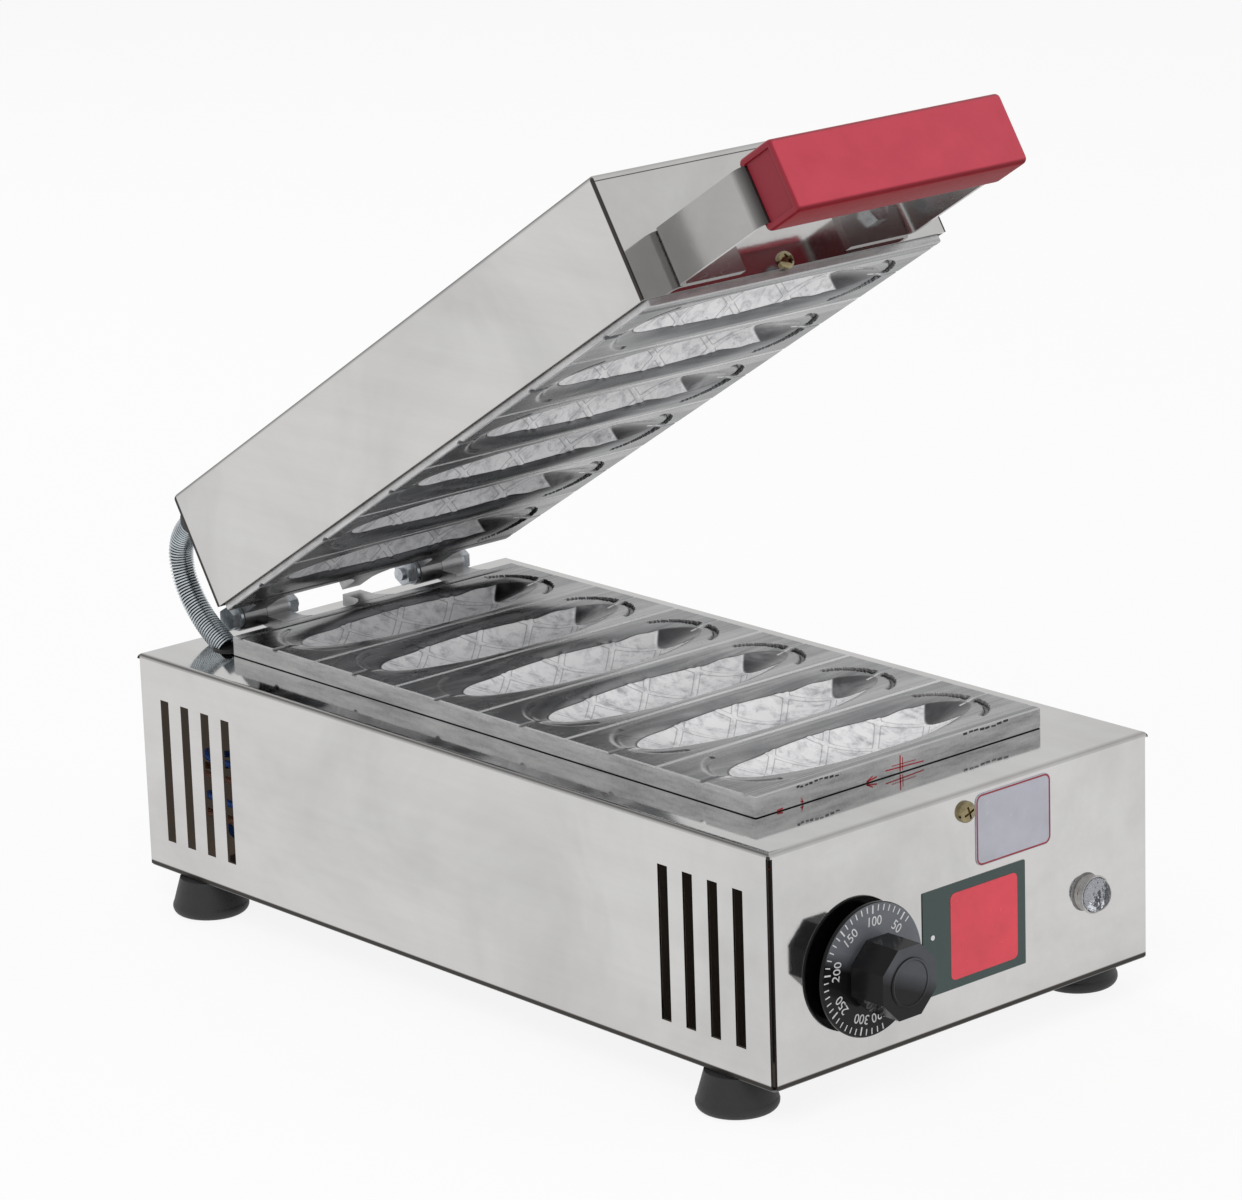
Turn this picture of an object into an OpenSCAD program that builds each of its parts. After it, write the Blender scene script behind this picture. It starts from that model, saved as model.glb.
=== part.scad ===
// Countertop cooker for batter on sticks. A folded steel housing carries a cast plate
// with six moulds, and a hinged lid with the same plate closes over it. A spring
// conduit leads the lid's wires round the hinge. Lid pieces are drawn shut and are
// then turned up about the hinge line.

/* [Housing] */
// Width of the folded housing, left to right
body_w = 220; // [210:5:260]
// Depth of the housing, front to rear
body_d = 416; // [412:4:460]
// Height of the housing without its feet
body_h = 100; // [90:2:130]
// Thickness of the housing sheet
sheet = 1.2; // [0.8:0.1:1.6]
// Outer radius of the bends round the top of the housing
bend_r = 2.5; // [2.2:0.1:4]
// Width of the flange turned in along the bottom of the housing
flange_w = 20; // [18:1:24]
// Width of the open seam at each upright corner
seam_gap = 1.2; // [0.6:0.2:2]
// Thickness of the floor panel under the flange
floor_t = 1; // [0.8:0.1:1.5]

/* [Side slots] */
// Number of slots in each group
slot_count = 4; // [2:1:4]
// Width of one ventilation slot
slot_w = 5.9; // [4:0.1:7]
// Height of one ventilation slot
slot_h = 67; // [40:1:68]
// Height of the lower end of the slots over the housing's bottom edge
slot_low = 14; // [10:1:16]
// Distance from one slot to the next
slot_pitch = 14.8; // [12:0.2:16]
// Distance of a slot group's middle from the housing's end
slot_inset = 41; // [38:1:50]

/* [Feet] */
// Height of a rubber foot
foot_h = 17; // [14:1:24]
// Radius of a foot at its widest
foot_r = 17.4; // [15:0.2:19]
// Radius of a foot where it meets the floor panel
foot_top_r = 13.5; // [11:0.5:14.5]
// Radius of the rounding round a foot's bottom
foot_round = 3.5; // [2:0.5:4]
// Distance of a foot's middle from the side wall
foot_side = 9.8; // [9:0.2:11]
// Distance of a foot's middle from the front or rear wall
foot_end = 32.5; // [28:0.5:40]

/* [Plates] */
// Distance from a plate's side to the housing's side
plate_side = 27; // [26.5:0.5:30]
// Distance from a plate's front or rear edge to the housing's
plate_end = 36; // [35.5:0.1:37.5]
// Height of a plate's edge
plate_h = 9; // [8:0.5:10]
// Number of moulds in a plate
mould_count = 6; // [4:1:6]
// Land in front of the first mould's share of the plate and behind the last's
edge_land = 3.4; // [1:0.2:10]
// Distance from a mould's end to the plate's side
mould_end = 15; // [14:0.5:21]
// Width of a mould's mouth
mould_w = 42; // [38:0.5:43]
// Depth of a mould at its middle
mould_depth = 10; // [9:0.5:12]
// Thickness of the metal round a mould
mould_wall = 4; // [3:0.5:5]
// Height of the crossing ribs in a mould
rib_h = 1.4; // [1:0.1:2]
// Width of the crossing ribs in a mould
rib_w = 2.6; // [2:0.2:3.4]
// Distance along a mould from one crossing of ribs to the next
rib_pitch = 30.8; // [29:0.2:32]
// Depth of the overflow grooves round a mould's ends
ring_depth = 1; // [0.6:0.1:1.4]
// Radius of the half-round channel for the stick
stick_r = 2.4; // [2:0.1:3]
// Gap between the two plates when the lid is shut
parting_gap = 0.4; // [0.3:0.1:1]

/* [Lid] */
// Angle at which the lid stands open
lid_open = 32; // [10:1:60]
// Reach of the lid cover beyond the plate's side
lid_side = 2.7; // [2.5:0.1:7]
// Reach of the lid cover beyond the plate's front or rear edge
lid_end = 1.5; // [1.5:0.1:3]
// Height of the lid cover
lid_h = 55.4; // [50:0.2:70]
// Thickness of the lid's sheet
lid_sheet = 1; // [0.8:0.1:1.3]
// Height of the plate's edge that shows below the cover
lid_reveal = 3.3; // [2.5:0.1:4]

/* [Hinge] */
// Distance of the hinge line behind the plate's rear edge
hinge_back = 20; // [18:0.5:22]
// Height of the hinge line over the lower plate's face
hinge_rise = 1.2; // [0.8:0.1:2]
// Distance of each hinge's middle from the plate's side
hinge_side = 31; // [29:1:37]
// Outer radius of a hinge knuckle
knuckle_r = 6.6; // [6:0.1:7]
// Length of one hinge knuckle
knuckle_l = 12.4; // [10:0.2:13]
// Gap between neighbours that turn on each other
turn_gap = 0.2; // [0.1:0.05:0.4]
// Radius of the hinge bolts
hinge_bolt_r = 3; // [2.5:0.1:3.2]

/* [Handle] */
// Distance of a bracket arm's outer face from the lid's side
bracket_side = 18.5; // [15.5:0.5:19.5]
// Reach of the bracket in front of the lid
bracket_reach = 62; // [50:0.5:70]
// Width of the flat bar
bar_w = 25; // [22:0.5:26]
// Thickness of the flat bar
bar_t = 2; // [1.6:0.2:2.4]
// Outer radius of the flat bar's bends
bar_bend_r = 5; // [4:0.5:6]
// Length of each foot of the bracket, on the lid
bracket_foot_l = 37.5; // [34:0.5:42]
// Height of the bracket's lower edge over the cover's lower edge
bracket_low = 2; // [1:0.5:6]
// Gap between the grip's end and the bracket's arm
grip_gap = 0.9; // [0.2:0.1:5]
// Thickness of the grip, front to rear
grip_t = 22; // [20:0.5:26]
// Height of the grip
grip_h = 31.5; // [30:0.5:36]
// Radius of the grip's edges
grip_edge_r = 2; // [1:0.5:3]

/* [Dial] */
// Distance of the dial's axis to the left of the middle
dial_x = 60; // [56:0.5:62]
// Height of the dial's axis over the housing's bottom edge
dial_z = 40; // [36:1:44]
// Radius of the numbered disc
dial_r = 28.3; // [24:0.1:29]
// Width across the flats of the eight-sided knob
knob_af = 30; // [26:0.5:32]
// Distance of the knob's face in front of the housing
knob_reach = 28; // [26:0.5:32]
// Depth of the knob, front to rear
knob_l = 19; // [16:0.5:20]

/* [Lamp] */
// Distance of the pilot lamp to the right of the middle
lamp_x = 74; // [70:0.5:80]
// Height of the pilot lamp over the housing's bottom edge
lamp_z = 37; // [32:0.5:42]
// Radius of the pilot lamp's bezel
lamp_r = 8.4; // [7.8:0.1:10]
// Distance of the lens's tip in front of the housing
lens_out = 9; // [7:0.5:12]

/* [Conduit] */
// Outer radius of the spring conduit
conduit_r = 5.7; // [5.2:0.1:6.2]
// Radius of the conduit's wire
wire_r = 0.6; // [0.5:0.05:0.65]
// Number of turns of the conduit's wire
conduit_turns = 25; // [16:1:26]
// Distance of the conduit from the housing's left side
conduit_side = 32.5; // [32:0.5:34]

/* [Cord inlet] */
// Radius of the bore for the mains cord
gland_bore_r = 4.2; // [3.5:0.1:4.5]
// Reach of the gland behind the housing
gland_reach = 20; // [18:0.5:24]

/* [Hidden] */
$fn = 48;
hex_sides = 6;
oct_sides = 8;
fine_sides = 180;

// Shared overrun of cuts and clearances of fixed and turning fits
over = 1;
fit = 0.05;
turn_fit = 0.06;
loose = 0.3;

// Plates, moulds, lid and handle follow the housing's width and depth
plate_w = body_w - 2 * plate_side;
plate_d = body_d - 2 * plate_end;
mould_l = plate_w - 2 * mould_end;
mould_pitch = (plate_d - 2 * edge_land) / mould_count;
lid_w = plate_w + 2 * lid_side;
lid_d = plate_d + 2 * lid_end;
hinge_half = plate_w / 2 - hinge_side;
bracket_w = lid_w - 2 * bracket_side;
grip_l = bracket_w - 2 * bar_t - 2 * grip_gap;
conduit_x = body_w / 2 - conduit_side;

// Levels over the housing's bottom edge, and the places of the hinge
face_z = body_h + plate_h;
lid_face_z = face_z + parting_gap;
cover_z = lid_face_z + lid_reveal;
hinge_y = plate_d / 2 + hinge_back;
hinge_z = face_z + hinge_rise;
hinge_sides = [-1, 1];
ends = [-1, 1];

// The knob reaches farthest to the front and the gland to the rear
centre_shift = (knob_reach - gland_reach) / 2;
floor_drop = foot_h + floor_t;

// A mould is the surface of a long arc turned about a line over the plate's face
mould_half_w = mould_w / 2;
mould_half_l = mould_l / 2;
mould_r = (pow(mould_half_w, 2) + pow(mould_depth, 2)) / (2 * mould_depth);
mould_axis = mould_r - mould_depth;
mould_arc_r = (pow(mould_half_l, 2) + pow(mould_depth, 2)) / (2 * mould_depth);
mould_ys = [for (k = [0:mould_count - 1]) (k - (mould_count - 1) / 2) * mould_pitch];
land_ys = [for (k = [1:mould_count - 1]) (k - mould_count / 2) * mould_pitch];
rib_steps = [-3, -1, 1, 3];
rib_row_share = 0.66;
rib_lean = atan(mould_half_w * rib_row_share / (rib_pitch / 2));
ring_w = 2.2;
end_arc_r = 21.3;
end_arc_back = 16;
end_arc_cut = 6;
end_arc_bridge = 3;
line_w = 0.9;
line_depth = 0.6;
edge_lines = [5, 6.8];
vent_w = 1;
plate_edge_r = 3;

// Lugs and arms cast on a plate's rear edge
arm_h = 7.5;
arm_tail_share = 0.85;
arm_fillet = 8;
lug_w = 10.5;
lug_l = 17;
lug_h = 5.5;
lug_fillet = 12;
root = 1;

// Rails, bosses and saddles under a plate, and what they carry
rod_r = 4;
rod_side = 39;
rod_half = plate_w / 2 - rod_side;
rod_end = 14;
rod_l = plate_d - 2 * rod_end;
rod_pin_r = 1.6;
rod_pin_l = 8;
rail_w = 14;
rail_end = 12;
rail_l = plate_d - 2 * rail_end;
boss_r = 6.5;
clamp_w = 16;
clamp_t = 3;
clamp_l = 2 * rod_half + clamp_w;
stud_r = 3;
stud_root = 4.5;
stud_out = 2;
shield_t = 0.8;
shield_side = 17;
shield_w = plate_w - 2 * shield_side;
shield_end = 24;
shield_d = plate_d - 2 * shield_end;
shield_lip = 6;
under = mould_depth + mould_wall;
clamp_top = under + rod_r;
shield_top = clamp_top + clamp_t;
function back_half(r) = sqrt(pow(r + mould_wall, 2) - pow(r + mould_wall - under + plate_h, 2));
back_l = 2 * back_half(mould_arc_r);
back_w = 2 * back_half(mould_r);
clamp_lands = [land_ys[0], land_ys[floor((mould_count - 2) / 2)], land_ys[mould_count - 2]];
bulb_land = land_ys[1];
bulb_r = 2.5;
bulb_l = 64;
saddle_x = 20;
saddle_w = 8;
saddle_l = 11;
capillary_r = 1;
capillary_x = 36;
capillary_hole_r = 3;

// Seat of the lower plate on the housing and of the upper one in the lid
seat_w = 11;
top_open_w = plate_w - 2 * seat_w;
top_open_d = plate_d - 2 * seat_w;
plate_screw_x = plate_w / 2 - seat_w / 2;
plate_screw_end = 30;
plate_screw_y = plate_d / 2 - plate_screw_end;
tap_depth = 5;

// Screws, nuts and washers, named by their threads
m4_r = 2;
m5_r = 2.5;
m6_r = 3;
m4_head_r = 4;
m4_head_h = 2.4;
m5_head_r = 4.6;
m5_head_h = 2.8;
m4_nut_af = 7;
m4_nut_h = 3.2;
m5_nut_af = 8;
m5_nut_h = 4;
m6_af = 10;
m6_head_h = 4;
m6_nut_h = 5;
washer_t = 1.6;
washer_r = 6;
thread_out = 2;
recess_w = 1;
recess_share = 0.6;
recess_depth = 1.2;

// Thermostat behind the front wall, its shaft and what the shaft carries
thermo_w = 34;
thermo_h = 36;
thermo_l = 30;
thermo_screw_x = 13;
shaft_r = 3;
shaft_depth = 14;
shaft_out = 20;
collar_r = 6;
collar_out = 2;
disc_t = 2;
disc_gap = 4;
hub_r = 10;
knob_cap_r = 10.5;
knob_cap_h = 0.8;
knob_bore_l = 12;

// Pilot lamp
bezel_t = 3;
lens_r = 6.6;
lens_dome_r = 6.6;
lamp_neck_r = 5.5;
lamp_body_r = 7;
lamp_body_l = 22;
lamp_seat = 1;

// Labels on the front wall, placed by their middles
label_t = 0.4;
info_w = 44;
info_h = 31;
info_x = 28;
info_down = 19;
info_z = body_h - info_down;
info_r = 3.5;
control_w = 60;
control_h = 45.5;
control_x = 4.4;
control_z = 39.2;
control_r = 1.5;

// Screw in the middle of the front wall, over the labels
front_screw_down = 9;
front_screw_z = body_h - front_screw_down;

// Terminal block, cord gland and the wires between them
block_w = 22;
block_d = 50;
block_h = 20;
block_side = 40;
block_x = block_side - body_w / 2;
block_end = 58;
block_y = body_d / 2 - block_end;
lead_r = 1.6;
wire_side = 9;
wire_gap = 6;
wire_z = 36;
wire_end_gap = 12;
gland_x = 40;
gland_z = 34;
gland_thread_r = 8;
gland_af = 20;
gland_flange_t = 6;
gland_nut_t = 5;
gland_in = 8;

// Conduit: an elbow on the housing's top, a bushing on the lid, a curve between
elbow_end = 25;
elbow_y = body_d / 2 - elbow_end;
elbow_r = 7;
elbow_lean = 60;
elbow_reach = 8;
elbow_neck_r = 5.4;
elbow_neck_l = 10;
bushing_down = 13.4;
bushing_up = lid_h - bushing_down;
bushing_r = 7.6;
bushing_t = 3;
bushing_neck_l = 6;
conduit_pull_low = 24;
conduit_pull_high = 28;
conduit_steps = 60;
coil_rings = 8;
wire_sides = 6;
lead_core_r = 3.2;
lead_core_bore_gap = 0.3;
lead_in = 3;
lead_rings = 20;
tube_sides = 8;

// Screw low on the lid's front
lid_screw_x = 6;
lid_screw_up = 3;
bracket_bolt_in = 18.2;
bracket_bolt_x = bracket_w / 2 - bracket_bolt_in;
grip_inset = 3;
grip_screw_in = 24.3;
grip_screw_x = grip_l / 2 - grip_screw_in;
grip_screw_l = 10;
grip_end_recess = 1.2;
grip_rim = 3;

// Steel sheet pieces

module base() {
    translate([0, centre_shift, floor_drop]) children();
}

module lid() {
    base()
        translate([0, hinge_y, hinge_z])
            rotate([-lid_open, 0, 0])
                translate([0, -hinge_y, -hinge_z])
                    children();
}

// Box with its lower end at zero and its middle over the origin
module block(w, d, h) {
    translate([-w / 2, -d / 2, 0]) cube([w, d, h]);
}

module rounded_outline(w, d, r) {
    square([w - 2 * r, d], center = true);
    square([w, d - 2 * r], center = true);
    for (x = ends, y = ends)
        translate([x * (w / 2 - r), y * (d / 2 - r)]) circle(r = r);
}

// Profile of a box whose two upper edges are rounded
module bent_profile(w, h, r) {
    translate([-w / 2, 0]) square([w, h - r]);
    translate([r - w / 2, 0]) square([w - 2 * r, h]);
    for (x = ends) translate([x * (w / 2 - r), h - r]) circle(r = r);
}

// Box whose four upper edges are bent round
module bent_box(w, d, h, r) {
    intersection() {
        translate([0, d / 2 + over, 0])
            rotate([90, 0, 0]) linear_extrude(d + 2 * over) bent_profile(w, h, r);
        translate([-w / 2 - over, 0, 0])
            rotate([90, 0, 90]) linear_extrude(w + 2 * over) bent_profile(d, h, r);
    }
}

module bent_shell(w, d, h, r, t) {
    difference() {
        bent_box(w, d, h, r);
        translate([0, 0, -over]) bent_box(w - 2 * t, d - 2 * t, h - t + over, r - t);
    }
}

// Rod along Y from y = 0 towards the rear
module rod_y(r, l) {
    rotate([-90, 0, 0]) cylinder(r = r, h = l);
}

module rod_x(r, l) {
    rotate([0, 90, 0]) cylinder(r = r, h = l);
}

// Screws and nuts stand on z = 0, the shank points down

module pan_screw(r, head_r, head_h, l) {
    difference() {
        union() {
            cylinder(r = head_r, h = head_h);
            translate([0, 0, -l]) cylinder(r = r, h = l + over);
        }
        for (a = [0, 90])
            rotate([0, 0, a])
                translate([0, 0, head_h - recess_depth])
                    block(2 * head_r * recess_share, recess_w, recess_depth + over);
    }
}

module hex_prism(af, h) {
    cylinder(r = af / sqrt(3), h = h, $fn = hex_sides);
}

module hex_bolt(r, af, head_h, l) {
    hex_prism(af, head_h);
    translate([0, 0, -l]) cylinder(r = r, h = l + over);
}

module hex_nut(r, af, h) {
    difference() {
        hex_prism(af, h);
        translate([0, 0, -over]) cylinder(r = r + fit, h = h + 2 * over);
    }
}

module washer(r, hole, t) {
    difference() {
        cylinder(r = r, h = t);
        translate([0, 0, -over]) cylinder(r = hole, h = t + 2 * over);
    }
}

// Tube swept along points; each ring is turned by the point's own side vector
function unit(v) = v / norm(v);
function way(p, i) = unit(p[min(i + 1, len(p) - 1)] - p[max(i - 1, 0)]);
function ring(c, t, side, r, n) =
    let (v = unit(cross(t, side)), u = cross(v, t))
    [for (k = [0:n - 1]) c + r * (cos(360 * k / n) * u + sin(360 * k / n) * v)];

module tube(p, sides, r, n) {
    m = len(p);
    points = [for (i = [0:m - 1]) each ring(p[i], way(p, i), sides[i], r, n)];
    skin = [for (i = [0:m - 2], k = [0:n - 1]) each [
        [i * n + k, (i + 1) * n + k, (i + 1) * n + (k + 1) % n],
        [i * n + k, (i + 1) * n + (k + 1) % n, i * n + (k + 1) % n]]];
    caps = [for (k = [1:n - 2]) each [[0, k, k + 1],
        [(m - 1) * n, (m - 1) * n + k + 1, (m - 1) * n + k]]];
    polyhedron(points = points, faces = concat(skin, caps));
}

// Smooth curve through hand-set points
curve_parts = 4;
function knot(p, i) = p[max(0, min(len(p) - 1, i))];
function smooth(p) = [for (i = [0:len(p) - 2], k = [0:curve_parts - 1])
    let (t = k / curve_parts, a = knot(p, i - 1), b = p[i], c = p[i + 1], d = knot(p, i + 2))
    ((2 * b) + (c - a) * t + (2 * a - 5 * b + 4 * c - d) * pow(t, 2)
        + (3 * b - a - 3 * c + d) * pow(t, 3)) / 2, p[len(p) - 1]];

module wire(p, r, side) {
    q = smooth(p);
    tube(q, [for (a = q) side], r, tube_sides);
}

module base_housing() {
    color("silver") base() difference() {
        union() {
            bent_shell(body_w, body_d, body_h, bend_r, sheet);
            difference() {
                block(body_w - sheet, body_d - sheet, sheet);
                translate([0, 0, -over])
                    block(body_w - 2 * flange_w, body_d - 2 * flange_w, sheet + 2 * over);
            }
        }
        // Open seams at the upright corners
        for (x = ends, y = ends)
            translate([x * body_w / 2, y * body_d / 2, -over])
                block(2 * sheet + seam_gap, 2 * sheet + seam_gap, body_h - bend_r + over);
        // Opening under the plate
        translate([0, 0, body_h - sheet - over])
            block(top_open_w, top_open_d, sheet + 2 * over);
        side_slots();
        plate_screw_holes(m5_r + loose);
        foot_places() translate([0, 0, -over]) cylinder(r = m5_r + loose, h = sheet + 2 * over);
        front_hole(-dial_x, dial_z, collar_r + loose);
        for (x = ends) front_hole(x * thermo_screw_x - dial_x, dial_z, m4_r + loose);
        front_hole(lamp_x, lamp_z, lamp_neck_r + loose);
        front_hole(0, front_screw_z, m4_r + loose);
        translate([gland_x, body_d / 2 - sheet - over, gland_z])
            rod_y(gland_thread_r + loose, sheet + 2 * over);
        translate([-conduit_x, elbow_y, body_h - sheet - over])
            cylinder(r = elbow_neck_r + loose, h = sheet + 2 * over);
    }
}

module side_slots() {
    for (y = ends, k = [0:slot_count - 1])
        translate([0, y * (body_d / 2 - slot_inset) + (k - (slot_count - 1) / 2) * slot_pitch,
                   slot_low])
            block(body_w + 2 * over, slot_w, slot_h);
}

module foot_places() {
    for (x = ends, y = ends)
        translate([x * (body_w / 2 - foot_side), y * (body_d / 2 - foot_end), 0]) children();
}

module plate_screw_places() {
    for (x = ends, y = ends) translate([x * plate_screw_x, y * plate_screw_y, 0]) children();
}

module plate_screw_holes(r) {
    plate_screw_places()
        translate([0, 0, body_h - sheet - over]) cylinder(r = r, h = sheet + 2 * over);
}

module front_hole(x, z, r) {
    translate([x, -body_d / 2 - over, z]) rod_y(r, sheet + 2 * over);
}

module floor_panel() {
    color("gray") base() difference() {
        translate([0, 0, -floor_t])
            block(body_w - 2 * seam_gap, body_d - 2 * seam_gap, floor_t);
        foot_places() translate([0, 0, -floor_t - over])
            cylinder(r = m5_r + loose, h = floor_t + 2 * over);
    }
}

foot_recess_r = 6.5;
foot_recess_h = 8;

module feet() {
    color("black") base() foot_places() translate([0, 0, -floor_t])
        rotate_extrude() difference() {
            union() {
                polygon([[0, 0], [foot_top_r, 0], [foot_r, foot_round - foot_h],
                         [foot_r - foot_round, foot_round - foot_h],
                         [foot_r - foot_round, -foot_h], [0, -foot_h]]);
                translate([foot_r - foot_round, foot_round - foot_h]) circle(r = foot_round);
            }
            translate([-foot_r, -foot_h - over]) square([foot_r + foot_recess_r, foot_recess_h + over]);
            translate([-foot_r, -foot_h]) square([foot_r + m5_r + loose, foot_h + over]);
        }
}

module foot_screws() {
    color("silver") base() foot_places()
        translate([0, 0, foot_recess_h - foot_h - floor_t])
            rotate([180, 0, 0])
                pan_screw(m5_r, m5_head_r, m5_head_h,
                          foot_h - foot_recess_h + floor_t + sheet + m5_nut_h + thread_out);
}

module foot_nuts() {
    color("silver") base() foot_places()
        translate([0, 0, sheet]) hex_nut(m5_r, m5_nut_af, m5_nut_h);
}

// Cast plate, drawn with its face on z = 0 and its back below; side gives the
// side of each hinge on which its knuckle lies, rise the hinge line's height

module mould(grow) {
    rotate([0, 90, 0]) rotate_extrude() intersection() {
        translate([mould_r - mould_arc_r, 0])
            circle(r = mould_arc_r + grow, $fn = fine_sides);
        translate([0, -mould_half_l - mould_wall])
            square([mould_r + 2 * mould_wall, 2 * (mould_half_l + mould_wall)]);
    }
}

module ribs() {
    for (k = rib_steps, a = ends)
        translate([k * rib_pitch / 2, 0, -mould_r - over])
            rotate([0, 0, a * rib_lean]) block(mould_l, rib_w, mould_r);
}

// What is cut for one mould: the hollow less its ribs, a broken arc round each end,
// the stick's channel and the vent
module mould_cut() {
    translate([0, 0, mould_axis]) {
        mould(-rib_h);
        difference() {
            mould(0);
            ribs();
        }
    }
    for (x = ends) translate([x * (mould_half_l - end_arc_back), 0, -ring_depth])
        linear_extrude(ring_depth + over) difference() {
            circle(r = end_arc_r + ring_w / 2);
            circle(r = end_arc_r - ring_w / 2);
            translate([x * (end_arc_cut - end_arc_r), 0]) square([2 * end_arc_r, 4 * end_arc_r], center = true);
            square([4 * end_arc_r, end_arc_bridge], center = true);
        }
    translate([-plate_w / 2 - over, 0, 0]) rod_x(stick_r, plate_w / 2 - mould_half_l + stick_r);
    translate([mould_half_l - vent_w, -vent_w / 2, -line_depth])
        cube([plate_w / 2 - mould_half_l + vent_w + over, vent_w, line_depth + over]);
}

module groove_line(y) {
    translate([0, y, -line_depth]) block(plate_w + 2 * over, line_w, line_depth + over);
}

module arm_corner(r, h) {
    difference() {
        cube([r, r, h]);
        translate([r, r, -over]) cylinder(r = r, h = h + 2 * over);
    }
}

// Fillets on both sides of a lug that stands on the plate's rear edge
module flares(w, r, h) {
    for (x = [0, 1]) mirror([x, 0, 0])
        translate([w / 2 - root, plate_d / 2 - root, -h]) arm_corner(r, h);
}

module plate_casting(side, rise) {
    difference() {
        union() {
            translate([0, 0, -plate_h]) linear_extrude(plate_h)
                rounded_outline(plate_w, plate_d, plate_edge_r);
            for (y = mould_ys) translate([-back_l / 2, y, 0]) rotate([90, 0, 90]) linear_extrude(back_l)
                polygon([[-back_w / 2 - under / 4, -plate_h / 2], [-back_w / 2, -under],
                         [back_w / 2, -under], [back_w / 2 + under / 4, -plate_h / 2]]);
            for (x = ends) translate([x * rod_half, 0, -under])
                block(rail_w, rail_l, under - plate_h / 2);
            for (y = clamp_lands) translate([0, y, -under])
                cylinder(r = boss_r, h = under - plate_h / 2);
            if (side > 0) for (x = ends) translate([x * saddle_x, bulb_land, -under])
                block(saddle_w, saddle_l, under - plate_h / 2);
            // Lug in the middle and an arm with its knuckle at each hinge
            translate([-lug_w / 2, plate_d / 2 - root, -lug_h]) cube([lug_w, lug_l + root, lug_h]);
            flares(lug_w, lug_fillet, lug_h);
            for (x = hinge_sides) translate([x * hinge_half + side * (knuckle_l + turn_gap) / 2, 0, 0]) {
                translate([-knuckle_l / 2, 0, 0]) {
                    rotate([90, 0, 90]) linear_extrude(knuckle_l)
                        polygon([[plate_d / 2 - root, -arm_h], [plate_d / 2 - root, 0],
                                 [plate_d / 2 + hinge_back, 0],
                                 [plate_d / 2 + hinge_back, rise - knuckle_r * arm_tail_share]]);
                    translate([0, plate_d / 2 + hinge_back, rise]) rod_x(knuckle_r, knuckle_l);
                }
                flares(knuckle_l, arm_fillet, arm_h);
            }
        }
        for (y = mould_ys) translate([0, y, 0]) mould_cut();
        for (y = land_ys) groove_line(y);
        for (s = ends, e = edge_lines) groove_line(s * (plate_d / 2 - e));
        for (x = ends) translate([x * rod_half, -plate_d / 2, -under]) rod_y(rod_r + fit, plate_d);
        for (y = clamp_lands) translate([0, y, -under - over])
            cylinder(r = stud_r + fit, h = under + over - stud_root);
        plate_screw_places() translate([0, 0, -plate_h - over]) cylinder(r = m5_r + fit, h = tap_depth + over);
        if (side > 0) translate([-plate_w / 2, bulb_land, -plate_h - bulb_r - fit])
            rod_x(bulb_r + fit, plate_w);
        if (side < 0) translate([-lid_screw_x, -plate_d / 2 - over, -lid_reveal - lid_screw_up])
            rod_y(m4_r + fit, thread_out + over);
        for (x = hinge_sides)
            translate([x * hinge_half + side * (knuckle_l + turn_gap) / 2 - knuckle_l,
                       plate_d / 2 + hinge_back, rise])
                rod_x(hinge_bolt_r + turn_fit, 2 * knuckle_l);
    }
}

module lower() {
    base() translate([0, 0, face_z]) children();
}

module upper() {
    lid() translate([0, 0, lid_face_z]) mirror([0, 0, 1]) children();
}

module lower_plate() {
    color("lightgray") lower() plate_casting(1, hinge_rise);
}

module upper_plate() {
    color("lightgray") upper() plate_casting(-1, parting_gap - hinge_rise);
}

// Screws through a sheet of thickness t into a plate's back
module plate_screws(t) {
    plate_screw_places() translate([0, 0, -plate_h - t])
        rotate([180, 0, 0]) pan_screw(m5_r, m5_head_r, m5_head_h, t + tap_depth - loose);
}

module lower_plate_screws() {
    color("silver") lower() plate_screws(sheet);
}

module upper_plate_screws() {
    color("silver") upper() plate_screws(lid_sheet);
}

module heating_rods() {
    for (x = ends) translate([x * rod_half, -rod_l / 2, -under]) {
        rod_y(rod_r, rod_l);
        translate([0, -rod_pin_l, 0]) rod_y(rod_pin_r, rod_l + 2 * rod_pin_l);
    }
}

module clamp_bars() {
    for (y = clamp_lands) translate([0, y, -shield_top]) difference() {
        block(clamp_l, clamp_w, clamp_t - fit);
        translate([0, 0, -over]) cylinder(r = stud_r + loose, h = clamp_t + 2 * over);
    }
}

module clamp_studs() {
    for (y = clamp_lands) translate([0, y, -shield_top - shield_t - m6_nut_h - stud_out])
        cylinder(r = stud_r, h = shield_top + shield_t + m6_nut_h + stud_out - stud_root - loose);
}

module clamp_nuts() {
    for (y = clamp_lands) translate([0, y, -shield_top - shield_t - m6_nut_h])
        hex_nut(stud_r, m6_af, m6_nut_h);
}

module heat_shield(hole) {
    translate([0, 0, -shield_top - shield_t]) difference() {
        block(shield_w, shield_d, shield_lip);
        translate([0, 0, shield_t])
            block(shield_w - 2 * shield_t, shield_d + 2 * over, shield_lip);
        for (y = clamp_lands) translate([0, y, -over]) cylinder(r = stud_r + loose, h = shield_t + 2 * over);
        if (hole > 0) translate([-capillary_x, bulb_land, -over]) cylinder(r = hole, h = shield_t + 2 * over);
    }
}

module lower_heating_rods() {
    color("dimgray") lower() heating_rods();
}

module upper_heating_rods() {
    color("dimgray") upper() heating_rods();
}

module lower_clamp_bars() {
    color("gray") lower() clamp_bars();
}

module upper_clamp_bars() {
    color("gray") upper() clamp_bars();
}

module lower_clamp_studs() {
    color("silver") lower() clamp_studs();
}

module upper_clamp_studs() {
    color("silver") upper() clamp_studs();
}

module lower_clamp_nuts() {
    color("silver") lower() clamp_nuts();
}

module upper_clamp_nuts() {
    color("silver") upper() clamp_nuts();
}

module lower_heat_shield() {
    color("gainsboro") lower() heat_shield(capillary_hole_r);
}

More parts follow.
